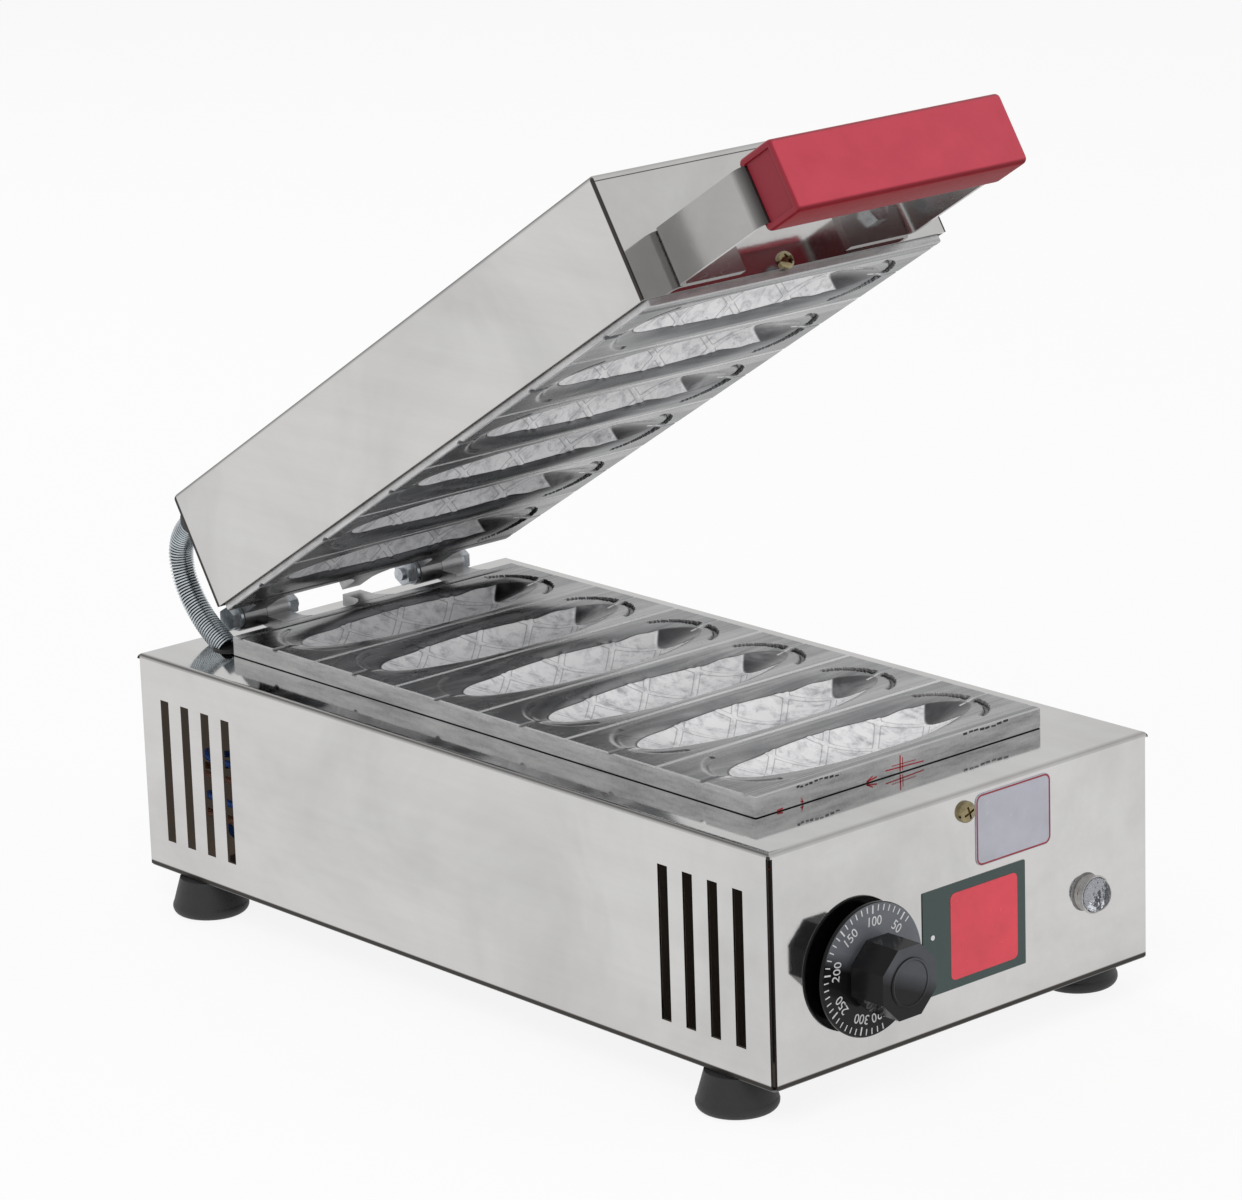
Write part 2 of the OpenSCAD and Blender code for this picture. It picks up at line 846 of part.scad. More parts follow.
module upper_heat_shield() {
    color("gainsboro") upper() heat_shield(0);
}

// Hinge: the head stands on the far side in the left hinge and in the right one
// the bolt is turned round; each bolt is tight in the lower plate's knuckle

hinge_stack = knuckle_l + turn_gap / 2;

// The upper plate's knuckle lies on the left in both hinges and keeps a turning gap
function head_face(x) = hinge_half + hinge_stack + (x < 0 ? turn_gap : 0);
function nut_face(x) = hinge_half - hinge_stack - (x > 0 ? turn_gap : 0);

module hinge_bolts() {
    color("silver") for (x = hinge_sides) base()
        translate([x * (head_face(x) + washer_t), hinge_y, hinge_z])
            rotate([0, x * 90, 0])
                hex_bolt(hinge_bolt_r, m6_af, m6_head_h,
                         2 * hinge_stack + turn_gap + 2 * washer_t + m6_nut_h + thread_out);
}

module hinge_nuts() {
    color("silver") for (x = hinge_sides) base()
        translate([x * (nut_face(x) - washer_t), hinge_y, hinge_z])
            rotate([0, -x * 90, 0]) hex_nut(hinge_bolt_r, m6_af, m6_nut_h);
}

module hinge_washers() {
    color("silver") for (x = hinge_sides) base() {
        translate([x * (head_face(x)), hinge_y, hinge_z])
            rotate([0, x * 90, 0]) washer(washer_r, hinge_bolt_r + fit, washer_t);
        translate([x * (nut_face(x)), hinge_y, hinge_z])
            rotate([0, -x * 90, 0]) washer(washer_r, hinge_bolt_r + fit, washer_t);
    }
}

// Front wall pieces: z = 0 lies on the wall's outer face and z points to the front
module front(x, z) {
    base() translate([x, -body_d / 2, z]) rotate([90, 0, 0]) children();
}

module thermostat_body() {
    color("tan") front(-dial_x, dial_z) difference() {
        union() {
            translate([0, 0, -sheet - thermo_l]) block(thermo_w, thermo_h, thermo_l);
            translate([0, 0, -sheet - over]) cylinder(r = collar_r, h = sheet + over + collar_out);
        }
        translate([0, 0, -shaft_depth - over]) cylinder(r = shaft_r + turn_fit, h = shaft_depth + collar_out + 2 * over);
        for (x = ends) translate([x * thermo_screw_x, 0, -sheet - tap_depth - over])
            cylinder(r = m4_r + fit, h = tap_depth + 2 * over);
    }
}

module thermostat_screws() {
    color("silver") for (x = ends) front(x * thermo_screw_x - dial_x, dial_z)
        pan_screw(m4_r, m4_head_r, m4_head_h, sheet + tap_depth);
}

// The knob's stem reaches the thermostat; the disc turns with it
knob_back = knob_reach - knob_l;
disc_front = disc_gap + disc_t;

module thermostat_shaft() {
    color("silver") front(-dial_x, dial_z)
        translate([0, 0, -shaft_depth]) cylinder(r = shaft_r, h = shaft_depth + knob_back + knob_bore_l - loose);
}

module dial_disc() {
    color("black") front(-dial_x, dial_z) difference() {
        union() {
            translate([0, 0, disc_gap]) cylinder(r = dial_r, h = disc_t);
            translate([0, 0, disc_gap]) cylinder(r = hub_r, h = knob_back - disc_gap);
        }
        cylinder(r = shaft_r + fit, h = knob_reach);
    }
}

module knob() {
    color("black") front(-dial_x, dial_z) difference() {
        union() {
            translate([0, 0, knob_back]) rotate([0, 0, 180 / oct_sides])
                cylinder(r = knob_af / (2 * cos(180 / oct_sides)), h = knob_l - knob_cap_h, $fn = oct_sides);
            translate([0, 0, knob_reach - knob_cap_h - over]) cylinder(r = knob_cap_r, h = knob_cap_h + over);
        }
        translate([0, 0, knob_back - over]) cylinder(r = shaft_r + fit, h = knob_bore_l + over);
    }
}

module pilot_lamp_bezel() {
    color("silver") front(lamp_x, lamp_z) difference() {
        cylinder(r = lamp_r, h = bezel_t);
        translate([0, 0, lamp_seat]) cylinder(r = lens_r + fit, h = bezel_t);
        translate([0, 0, -over]) cylinder(r = lamp_neck_r + fit, h = bezel_t);
    }
}

module pilot_lamp_lens() {
    color("white") front(lamp_x, lamp_z) {
        translate([0, 0, lamp_seat]) cylinder(r = lens_r, h = bezel_t - lamp_seat);
        intersection() {
            translate([0, 0, lens_out - lens_dome_r]) sphere(r = lens_dome_r - fit);
            translate([0, 0, lamp_seat + (bezel_t - lamp_seat) / 2]) cylinder(r = lamp_r, h = lens_out);
        }
    }
}

module pilot_lamp_body() {
    color("black") front(lamp_x, lamp_z) {
        translate([0, 0, -sheet - lamp_body_l]) cylinder(r = lamp_body_r, h = lamp_body_l);
        translate([0, 0, -sheet - over]) cylinder(r = lamp_neck_r, h = sheet + over + lamp_seat);
    }
}

module front_screw() {
    color("goldenrod") front(0, front_screw_z)
        pan_screw(m4_r, m5_head_r, m5_head_h, sheet + m4_nut_h + thread_out);
}

module front_screw_nut() {
    color("silver") front(0, front_screw_z) translate([0, 0, -sheet - m4_nut_h]) hex_nut(m4_r, m4_nut_af, m4_nut_h);
}

module control_label() {
    color("darkslategray") front(control_x, control_z)
        linear_extrude(label_t) rounded_outline(control_w, control_h, control_r);
}

module info_label() {
    color("lavender") front(info_x, info_z)
        linear_extrude(label_t) rounded_outline(info_w, info_h, info_r);
}

// Terminal block on the floor panel, its ports open to the rear
module terminal_block() {
    color("beige") base() translate([block_x, block_y, 0]) difference() {
        block(block_w, block_d, block_h);
        for (x = ends) translate([x * block_w / 4, block_d / 2 - lead_in, block_h / 2])
            rod_y(lead_r + fit, lead_in + over);
    }
}

// A lead leaves the block, turns behind the slots and ends in the gland; the one
// with the greater side value runs outside the other all the way
module lead(end, level) {
    port_x = block_x + end * block_w / 4;
    port_y = block_y + block_d / 2;
    apart = 2 * (lead_r + loose);
    outer = apart * (end + 1) / 2;
    bow_y = port_y + wire_gap + outer;
    wall_x = wire_side - body_w / 2 + apart - outer;
    mouth_y = body_d / 2 - gland_in - loose;
    rear_y = mouth_y - wire_end_gap - apart + outer;
    out_x = gland_x - end * apart / 2;
    base() wire([[port_x, port_y - lead_in + loose, block_h / 2],
                 [port_x, bow_y - wire_gap / 2, block_h / 2],
                 [port_x - wire_gap, bow_y, block_h / 2 + wire_gap / 2],
                 [wall_x + wire_gap, bow_y, level - wire_gap / 2],
                 [wall_x, bow_y - wire_gap, level],
                 [wall_x, port_y - block_d / 2, level],
                 [wall_x, port_y - block_d / 2 - wire_gap, level + 3 * wire_gap / 2],
                 [wall_x, port_y - block_d / 2, level + 3 * wire_gap],
                 [wall_x, rear_y - 2 * wire_gap, level + 3 * wire_gap],
                 [wall_x + wire_gap, rear_y, level + 3 * wire_gap],
                 [block_x, rear_y, level + 2 * wire_gap],
                 [out_x - wire_end_gap, rear_y, gland_z],
                 [out_x, mouth_y - wire_gap, gland_z],
                 [out_x, mouth_y, gland_z]], lead_r, [0, 0, 1]);
}

module wire_blue() {
    color("royalblue") lead(-1, wire_z);
}

module wire_brown() {
    color("saddlebrown") lead(1, wire_z - wire_gap);
}

module gland_place() {
    base() translate([gland_x, body_d / 2, gland_z]) rotate([-90, 0, 0]) children();
}

module cord_gland() {
    color("black") gland_place() difference() {
        union() {
            hex_prism(gland_af, gland_flange_t);
            translate([0, 0, gland_flange_t - over]) cylinder(r = gland_thread_r, h = gland_reach - gland_flange_t + over);
            translate([0, 0, -gland_in]) cylinder(r = gland_thread_r, h = gland_in + over);
        }
        translate([0, 0, -gland_in - over]) cylinder(r = gland_bore_r, h = gland_reach + gland_in + 2 * over);
    }
}

module cord_gland_nut() {
    color("black") gland_place() translate([0, 0, -sheet - gland_nut_t]) hex_nut(gland_thread_r, gland_af, gland_nut_t);
}

// Spring conduit between the elbow on the housing and the bushing on the lid

elbow_top = [0, elbow_y + elbow_reach * sin(elbow_lean), body_h + elbow_reach * cos(elbow_lean)];
bushing_rel = [0, lid_d / 2 + bushing_t - hinge_y, cover_z + bushing_up - hinge_z];
function turned(v) = [v[0], v[1] * cos(lid_open) + v[2] * sin(lid_open),
                      v[2] * cos(lid_open) - v[1] * sin(lid_open)];
bushing_end = turned(bushing_rel) + [0, hinge_y, hinge_z];
way_low = [0, sin(elbow_lean), cos(elbow_lean)];
way_high = turned([0, 1, 0]);
pull_low = elbow_top + conduit_pull_low * way_low;
pull_high = bushing_end + conduit_pull_high * way_high;
function bezier(t) = pow(1 - t, 3) * elbow_top + 3 * t * pow(1 - t, 2) * pull_low
    + 3 * pow(t, 2) * (1 - t) * pull_high + pow(t, 3) * bushing_end;
function bezier_way(t) = unit(pow(1 - t, 2) * (pull_low - elbow_top)
    + 2 * t * (1 - t) * (pull_high - pull_low) + pow(t, 2) * (bushing_end - pull_high));
curve = [for (k = [0:conduit_steps]) bezier(k / conduit_steps)];
function travelled(k) = k == 0 ? 0 : travelled(k - 1) + norm(curve[k] - curve[k - 1]);
travel_table = [for (k = [0:conduit_steps]) [travelled(k), k / conduit_steps]];
conduit_l = travelled(conduit_steps);
across = [1, 0, 0];

// The wire runs straight out of its seat for one diameter and then curls
coil_lead = 2 * wire_r;
coil_end = wire_r / 2;
coil_span = conduit_l - 2 * coil_lead - 2 * coil_end;
coil_count = conduit_turns * coil_rings;
function coil_spot(s, angle) =
    let (t = lookup(s, travel_table), w = bezier_way(t), up = cross(across, w))
    [bezier(t) + (conduit_r - wire_r) * (cos(angle) * up + sin(angle) * across),
     cos(angle) * up + sin(angle) * across];
coil = concat(
    [coil_spot(0, 0), coil_spot(coil_lead, 0)],
    [for (k = [0:coil_count]) coil_spot(coil_lead + coil_end + coil_span * k / coil_count,
                                        360 * (k + 1) / coil_rings)],
    [let (a = 360 * (coil_count + 2) / coil_rings) each
        [coil_spot(conduit_l - coil_lead, a), coil_spot(conduit_l, a)]]);

module spring_conduit() {
    color("silver") base() translate([-conduit_x, 0, 0])
        tube([for (c = coil) c[0]], [for (c = coil) c[1]], wire_r, wire_sides);
}

// Least gap between neighbouring curls, from each point to the next curl's chords
function chord_gap(p, a, b) =
    let (t = max(0, min(1, (p - a) * (b - a) / ((b - a) * (b - a))))) norm(p - a - t * (b - a));
curl_gap = min([for (i = [2:len(coil) - coil_rings - 6], j = [i + 4:i + coil_rings + 3])
    chord_gap(coil[i][0], coil[j][0], coil[j + 1][0])]) - 2 * wire_r;
echo(least_gap_between_curls = curl_gap, conduit_length = conduit_l);

module lid_lead() {
    color("dimgray") base() translate([-conduit_x, 0, 0])
        tube(concat([elbow_top - lead_in * way_low],
                    [for (k = [0:lead_rings]) bezier(k / lead_rings)],
                    [bushing_end - lead_in * way_high]),
             [for (k = [0:lead_rings + 2]) across], lead_core_r, tube_sides);
}

module conduit_elbow() {
    color("black") base() translate([-conduit_x, elbow_y, body_h]) difference() {
        union() {
            intersection() {
                rotate([-elbow_lean, 0, 0]) translate([0, 0, -elbow_reach])
                    cylinder(r = elbow_r, h = 2 * elbow_reach);
                block(4 * elbow_r, 4 * elbow_r, 2 * elbow_reach);
            }
            translate([0, 0, -elbow_neck_l]) cylinder(r = elbow_neck_r, h = elbow_neck_l + over);
        }
        rotate([-elbow_lean, 0, 0]) cylinder(r = lead_core_r + lead_core_bore_gap, h = 2 * elbow_reach);
        translate([0, 0, -elbow_neck_l - over]) cylinder(r = lead_core_r, h = elbow_neck_l + over + lead_core_r);
    }
}

module conduit_elbow_nut() {
    color("silver") base() translate([-conduit_x, elbow_y, body_h - sheet - m6_nut_h])
        hex_nut(elbow_neck_r, 2 * elbow_r, m6_nut_h);
}

module bushing_place() {
    lid() translate([-conduit_x, lid_d / 2, cover_z + bushing_up]) rotate([-90, 0, 0]) children();
}

module lid_bushing() {
    color("black") bushing_place() difference() {
        union() {
            cylinder(r = bushing_r, h = bushing_t);
            translate([0, 0, -bushing_neck_l]) cylinder(r = elbow_neck_r, h = bushing_neck_l + over);
        }
        translate([0, 0, -bushing_neck_l - over])
            cylinder(r = lead_core_r + lead_core_bore_gap, h = bushing_neck_l + bushing_t + 2 * over);
    }
}

// Lid cover: folded sheet with a rail along each side that carries the plate

hinge_notch = hinge_stack + arm_fillet + turn_gap;
lug_notch = lug_w / 2 + lug_fillet + turn_gap;

module lid_cover() {
    color("silver") lid() difference() {
        union() {
            translate([0, 0, cover_z]) bent_shell(lid_w, lid_d, lid_h, bend_r, lid_sheet);
            for (x = ends) translate([x * (lid_w - lid_sheet - seat_w - rail_back) / 2, 0, lid_face_z + plate_h])
                block(seat_w + rail_back, lid_d - lid_sheet, lid_sheet);
        }
        for (x = ends) rear_notch(x * hinge_half, hinge_notch, arm_h);
        rear_notch(0, lug_notch, lug_h);
        translate([0, 0, lid_face_z + plate_h - over]) plate_screw_places()
            cylinder(r = m5_r + loose, h = lid_sheet + 2 * over);
        translate([-conduit_x, lid_d / 2 - lid_sheet - over, cover_z + bushing_up])
            rod_y(elbow_neck_r + loose, lid_sheet + 2 * over);
        for (x = ends) translate([x * bracket_bolt_x, -lid_d / 2 - over, bracket_z])
            rod_y(m6_r + loose, lid_sheet + 2 * over);
        translate([-lid_screw_x, -lid_d / 2 - over, cover_z + lid_screw_up])
            rod_y(m4_r + loose, lid_sheet + 2 * over);
    }
}

rail_back = (lid_w - plate_w) / 2;

module rear_notch(x, half, h) {
    translate([x, lid_d / 2, lid_face_z - over])
        block(2 * half, 2 * (lid_sheet + over), h + loose + over);
}

// Handle: one flat bar bent round the grip's length, feet turned in on the lid

bracket_z = cover_z + bracket_low + bar_w / 2;

module bracket_outline(w, d, r) {
    translate([0, -lid_d / 2 - d / 2]) rounded_outline(w, d, r);
}

module handle_bracket() {
    color("silver") lid() translate([0, 0, bracket_z - bar_w / 2]) difference() {
        linear_extrude(bar_w) bracket_outline(bracket_w, bracket_reach, bar_bend_r);
        translate([0, -bar_t, -over]) linear_extrude(bar_w + 2 * over)
            bracket_outline(bracket_w - 2 * bar_t, bracket_reach - 2 * bar_t, bar_bend_r - bar_t);
        translate([0, -lid_d / 2, -over])
            block(bracket_w - 2 * bracket_foot_l, 2 * (bar_t + over), bar_w + 2 * over);
        for (x = ends) translate([x * bracket_bolt_x, -lid_d / 2 - bar_t - over, bar_w / 2])
            rod_y(m6_r + loose, bar_t + 2 * over);
        for (x = ends) translate([x * grip_screw_x, -lid_d / 2 - bracket_reach - over, bar_w / 2])
            rod_y(m4_r + loose, bar_t + 2 * over);
    }
}

grip_front = lid_d / 2 + bracket_reach - grip_inset + grip_t;

module handle_grip() {
    color("firebrick") lid() translate([0, 0, bracket_z]) difference() {
        intersection() {
            translate([0, grip_t / 2 - grip_front, -grip_h / 2])
                linear_extrude(grip_h) rounded_outline(grip_l, grip_t, grip_edge_r);
            translate([-grip_l / 2, grip_t / 2 - grip_front, 0])
                rotate([90, 0, 90]) linear_extrude(grip_l) rounded_outline(grip_t, grip_h, grip_edge_r);
        }
        // Groove in the back for the flat bar, and a sunk panel at each end
        translate([0, -lid_d / 2 - bracket_reach / 2, -bar_w / 2 - fit])
            block(2 * bracket_w, bracket_reach, bar_w + 2 * fit);
        for (x = ends) translate([x * grip_l / 2, grip_t / 2 - grip_front + grip_rim, grip_rim - grip_h / 2])
            block(2 * grip_end_recess, grip_t, grip_h - 2 * grip_rim);
        for (x = ends) translate([x * grip_screw_x, -lid_d / 2 - bracket_reach - grip_screw_l, 0])
            rod_y(m4_r + fit, grip_screw_l + over);
    }
}

module grip_screws() {
    color("silver") lid() for (x = ends)
        translate([x * grip_screw_x, bar_t - lid_d / 2 - bracket_reach, bracket_z])
            rotate([-90, 0, 0]) pan_screw(m4_r, m4_head_r, m4_head_h, bar_t + grip_screw_l - loose);
}

module bracket_bolts() {
    color("silver") lid() for (x = ends)
        translate([x * bracket_bolt_x, -lid_d / 2 - bar_t, bracket_z])
            rotate([90, 0, 0]) hex_bolt(m6_r, m6_af, m6_head_h, bar_t + lid_sheet + m6_nut_h + thread_out);
}

module bracket_nuts() {
    color("silver") lid() for (x = ends)
        translate([x * bracket_bolt_x, lid_sheet - lid_d / 2, bracket_z])
            rotate([-90, 0, 0]) hex_nut(m6_r, m6_af, m6_nut_h);
}

module lid_screw() {
    color("goldenrod") lid() translate([-lid_screw_x, -lid_d / 2, cover_z + lid_screw_up])
        rotate([90, 0, 0]) pan_screw(m4_r, m4_head_r - fit, m4_head_h, lid_sheet + thread_out);
}

// Capillary bulb under the plate's second land, its tube led down to the thermostat
module thermostat_bulb() {
    color("peru") lower() translate([0, bulb_land, -plate_h - bulb_r - fit]) {
        translate([-bulb_l / 2, 0, 0]) rod_x(bulb_r, bulb_l);
        wire([[loose - bulb_l / 2, 0, 0],
              [-capillary_x, 0, -bulb_r],
              [-capillary_x, 0, plate_h - shield_top],
              [-capillary_x, 0, -shield_top],
              [-dial_x, -bulb_l, -shield_top - bulb_r],
              [-dial_x, -body_d / 2 - bulb_land + thermo_l / 2, plate_h + bulb_r - face_z + dial_z + thermo_h / 2 + shield_lip],
              [-dial_x, -body_d / 2 - bulb_land + thermo_l / 2, plate_h + bulb_r + fit - face_z + dial_z + thermo_h / 2]],
             capillary_r, [0, 1, 0]);
    }
}

base_housing();
floor_panel();
feet();
foot_screws();
foot_nuts();
lower_plate();
lower_plate_screws();
lower_heating_rods();
lower_clamp_bars();
lower_clamp_studs();
lower_clamp_nuts();
lower_heat_shield();
hinge_bolts();
hinge_nuts();
hinge_washers();
thermostat_body();
thermostat_screws();
thermostat_bulb();
thermostat_shaft();
dial_disc();
knob();
pilot_lamp_bezel();
pilot_lamp_lens();
pilot_lamp_body();
front_screw();
front_screw_nut();
control_label();
info_label();
terminal_block();
wire_blue();
wire_brown();
cord_gland();
cord_gland_nut();
conduit_elbow();
conduit_elbow_nut();
spring_conduit();
lid_lead();
lid_bushing();
upper_plate();
upper_plate_screws();
lid_cover();
upper_heating_rods();
upper_clamp_bars();
upper_clamp_studs();
upper_clamp_nuts();
upper_heat_shield();
handle_bracket();
handle_grip();
grip_screws();
bracket_bolts();
bracket_nuts();
lid_screw();
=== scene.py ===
"""Countertop cooker with a hinged lid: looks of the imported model."""
import math

import bmesh
import bpy
import numpy as np
from mathutils import Matrix, Vector


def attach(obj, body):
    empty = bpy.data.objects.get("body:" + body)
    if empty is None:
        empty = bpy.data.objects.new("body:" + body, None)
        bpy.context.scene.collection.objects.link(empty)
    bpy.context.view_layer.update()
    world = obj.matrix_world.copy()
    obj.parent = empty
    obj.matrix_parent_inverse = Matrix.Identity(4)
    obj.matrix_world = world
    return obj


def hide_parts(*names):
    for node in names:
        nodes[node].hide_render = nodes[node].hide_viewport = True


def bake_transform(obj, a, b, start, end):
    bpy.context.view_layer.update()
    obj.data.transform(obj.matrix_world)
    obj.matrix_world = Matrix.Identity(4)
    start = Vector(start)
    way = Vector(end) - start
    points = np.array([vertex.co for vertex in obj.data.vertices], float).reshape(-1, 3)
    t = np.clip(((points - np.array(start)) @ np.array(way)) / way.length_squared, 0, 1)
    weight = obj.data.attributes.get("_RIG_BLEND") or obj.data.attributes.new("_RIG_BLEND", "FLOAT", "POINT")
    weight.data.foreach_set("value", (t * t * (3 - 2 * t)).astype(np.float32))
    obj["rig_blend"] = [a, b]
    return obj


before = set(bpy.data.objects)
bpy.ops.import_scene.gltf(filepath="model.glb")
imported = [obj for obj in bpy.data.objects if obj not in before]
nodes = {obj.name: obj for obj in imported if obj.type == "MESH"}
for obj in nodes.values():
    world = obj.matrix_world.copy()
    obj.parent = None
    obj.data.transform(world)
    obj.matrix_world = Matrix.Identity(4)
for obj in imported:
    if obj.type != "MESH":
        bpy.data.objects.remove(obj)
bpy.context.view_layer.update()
scene = bpy.context.scene
MM = 0.001

# Sizes repeated from the part's source, in millimetres and in the housing's frame; the
# part's frame is that frame moved by SHIFT
SHIFT = Vector((0, 4, 18))
BODY_W, BODY_D, BODY_H = 220, 416, 100
# How far the lid stands open at rest
TILT = math.radians(32)
HINGE = Vector((0, 192, 110.2))
PLATE_W, PLATE_D, PLATE_H = 166, 344, 9
FACE_Z, LID_FACE_Z = 109, 109.4
COVER_Z = 112.7
LID_W, LID_D, LID_H = 171.4, 347, 55.4
# Flat bar of the handle: reach before the lid, thickness and height
BAR_OUT, BAR_T, BAR_H = 62, 3, 25
BRACKET_Z = COVER_Z + 2 + BAR_H / 2
DIAL_X, DIAL_Z, DISC_FRONT = -60, 40, 6
KNOB_AF, KNOB_BACK, KNOB_REACH = 30, 9, 28
LAMP_X, LAMP_Z = 74, 37
SCREW_DOWN = 9
LABEL_T = 0.4
CONTROL_X, CONTROL_Z, CONTROL_W, CONTROL_H = 4.4, 39.2, 60, 45.5
INFO_X, INFO_Z, INFO_W, INFO_H = 28, 81, 44, 31

# Places are matrices in metres, in the part's frame at rest
PIVOT = (HINGE + SHIFT) * MM
LID = Matrix.Translation(PIVOT) @ Matrix.Rotation(-TILT, 4, "X") @ Matrix.Translation(-PIVOT)
UPRIGHT = Matrix.Rotation(math.radians(90), 4, "X")


def at(x, y, z):
    return Matrix.Translation(Vector((x, y, z)) * MM)


def on_front(x, z):
    """Brings x, y, z of a drawing on the front wall to x, up and out of it."""
    return at(x, SHIFT.y - BODY_D / 2, z + SHIFT.z) @ UPRIGHT


def in_lid(x, y, z):
    """A place in the lid, given in the housing's frame with the lid shut."""
    return LID @ at(x, y + SHIFT.y, z + SHIFT.z)


def to_local(z, lid=False):
    """Brings the part's frame at rest to the housing's or the lid's, with z as its zero height."""
    lowered = at(*-(SHIFT + Vector((0, 0, z))))
    return lowered @ LID.inverted() if lid else lowered


# Materials

def shade(colour, factor):
    return tuple(min(1, c * factor) for c in colour)


def rgba(colour):
    """Four channels from a colour or a level of grey."""
    return (colour, colour, colour, 1) if isinstance(colour, (int, float)) else (*colour, 1)


class Mat:
    """Node material; every pattern reads object coordinates, in metres."""

    def __init__(self, name, **sockets):
        self.mat = bpy.data.materials.new(name)
        self.mat.use_nodes = True
        self.tree = self.mat.node_tree
        self.tree.nodes.clear()
        out = self.tree.nodes.new("ShaderNodeOutputMaterial")
        self.shader = self.tree.nodes.new("ShaderNodeBsdfPrincipled")
        self.tree.links.new(self.shader.outputs[0], out.inputs[0])
        for key, value in sockets.items():
            self.set(key, value)

    def feed(self, socket, value):
        """Links a socket to another one or gives it a plain value."""
        if isinstance(value, bpy.types.NodeSocket):
            self.tree.links.new(value, socket)
        else:
            socket.default_value = value

    def set(self, key, value):
        """Feeds a socket of the shader; spaces in its name are written as _."""
        self.feed(self.shader.inputs[key.replace("_", " ")],
                  rgba(value) if isinstance(value, tuple) else value)

    def node(self, kind, inputs=(), **props):
        n = self.tree.nodes.new(kind)
        for key, value in props.items():
            setattr(n, key, value)
        for key, value in dict(inputs).items():
            self.feed(n.inputs[key], value)
        return n

    def place(self, scale=(1, 1, 1), turn=(0, 0, 0), move=(0, 0, 0), spot=None):
        """Spot, or else object coordinates, scaled, turned and moved."""
        if spot is None:
            spot = self.node("ShaderNodeTexCoord").outputs["Object"]
        return self.node("ShaderNodeMapping", {"Vector": spot, "Scale": scale,
                                               "Rotation": turn, "Location": move}).outputs[0]

    def own(self, matrix):
        """Object coordinates brought to the frame of a piece."""
        return self.place(turn=tuple(matrix.to_euler()), move=tuple(matrix.translation))

    def normal(self, turn=0.0):
        """The surface's normal, turned about the x axis."""
        plain = self.node("ShaderNodeTexCoord").outputs["Normal"]
        return self.node("ShaderNodeVectorRotate", {"Vector": plain, "Angle": turn},
                         rotation_type="X_AXIS").outputs[0]

    def split(self, vector):
        return list(self.node("ShaderNodeSeparateXYZ", {"Vector": vector}).outputs)

    def noise(self, scale, detail=3, rough=0.55, stretch=(1, 1, 1), turn=(0, 0, 0), distort=0,
              spot=None):
        return self.node("ShaderNodeTexNoise", {
            "Vector": self.place(stretch, turn, spot=spot), "Scale": scale, "Detail": detail,
            "Roughness": rough, "Distortion": distort}).outputs["Fac"]

    def ramp(self, fac, *stops):
        n = self.node("ShaderNodeValToRGB", {"Fac": fac})
        e = n.color_ramp.elements
        while len(e) < len(stops):
            e.new(0.5)
        for k, (at_fac, colour) in enumerate(stops):
            e[k].position = at_fac
            e[k].color = rgba(colour)
        return n.outputs["Color"]

    def math(self, what, *values):
        return self.node("ShaderNodeMath", enumerate(values), operation=what).outputs[0]

    def times(self, a, b):
        return self.math("MULTIPLY", a, b)

    def absolute(self, value):
        return self.math("ABSOLUTE", value)

    def largest(self, first, *others):
        for other in others:
            first = self.math("MAXIMUM", first, other)
        return first

    def rise(self, value, low, high):
        """0 where value is at low, 1 where it is at high, straight between them."""
        n = self.math("MULTIPLY_ADD", value, 1 / (high - low), -low / (high - low))
        return self.node("ShaderNodeClamp", {"Value": n}).outputs[0]

    def band(self, value, low, high, soft):
        """1 where value lies between low and high, with soft edges."""
        return self.math("MINIMUM", self.rise(value, low, low + soft),
                         self.rise(value, high, high - soft))

    def mix(self, fac, a, b, blend="MIX"):
        a, b = (v if isinstance(v, bpy.types.NodeSocket) else rgba(v) for v in (a, b))
        return self.node("ShaderNodeMix", {0: fac, 6: a, 7: b},
                         data_type="RGBA", blend_type=blend).outputs[2]

    def rough(self, middle, spread, scale=300):
        """Roughness that wanders by half of spread to both sides of middle."""
        self.set("Roughness", self.math("MULTIPLY_ADD", self.noise(scale, 3), spread,
                                        middle - spread / 2))

    def bump(self, *layers):
        """Layers of (height, depth in metres), laid over each other."""
        under = {}
        for height, depth in layers:
            n = self.node("ShaderNodeBump",
                          {"Height": height, "Distance": depth, "Strength": 1.0, **under})
            under = {"Normal": n.outputs[0]}
        self.set("Normal", under["Normal"])


# Painted shade: dark reflections painted on a sheet's bends, and shade along its edges, bottom and hem
BEND_AND_EDGE_SHADE = (0.055, 0.05, 0.046)
# Painted shade on the sheets' insides, with a painted glow that stands in for the little light finding its
# way in
INSIDE_SHADE, INSIDE_PAINTED_GLOW = (0.10, 0.085, 0.07), (0.042, 0.034, 0.027)
# GRIP_SHADOW is a painted shadow on the bar beside the grip
GRIP_SHADOW, SLEEVE_RED = (0.07, 0.065, 0.065), (0.25, 0.018, 0.03)
# Where the painted shade lines of a folded sheet begin, in metres from its outside
EDGE_X, EDGE_Y, EDGE_LOW = 0.0010, 0.0019, 0.0021
HEM_WIDTH = 0.0007


def sheet_lines(m, spot, half, hem, nx, ny):
    """Painted shade along the upright edges, bottom edge and hem of a folded sheet."""
    x, y, z = m.split(spot)
    from_x, from_y = half[0] - EDGE_X, half[1] - EDGE_Y
    front = m.times(m.rise(m.absolute(x), from_x, from_x + 0.0004), m.rise(ny, 0.7, 0.9))
    side = m.times(m.rise(m.absolute(y), from_y, from_y + 0.0004), m.rise(nx, 0.7, 0.9))
    low = m.rise(z, EDGE_LOW - half[2], EDGE_LOW - 0.0006 - half[2])
    if hem is not None:
        low = m.largest(low, m.times(m.band(z, hem, hem + HEM_WIDTH, 0.0003), ny))
    return m.largest(front, side, low)


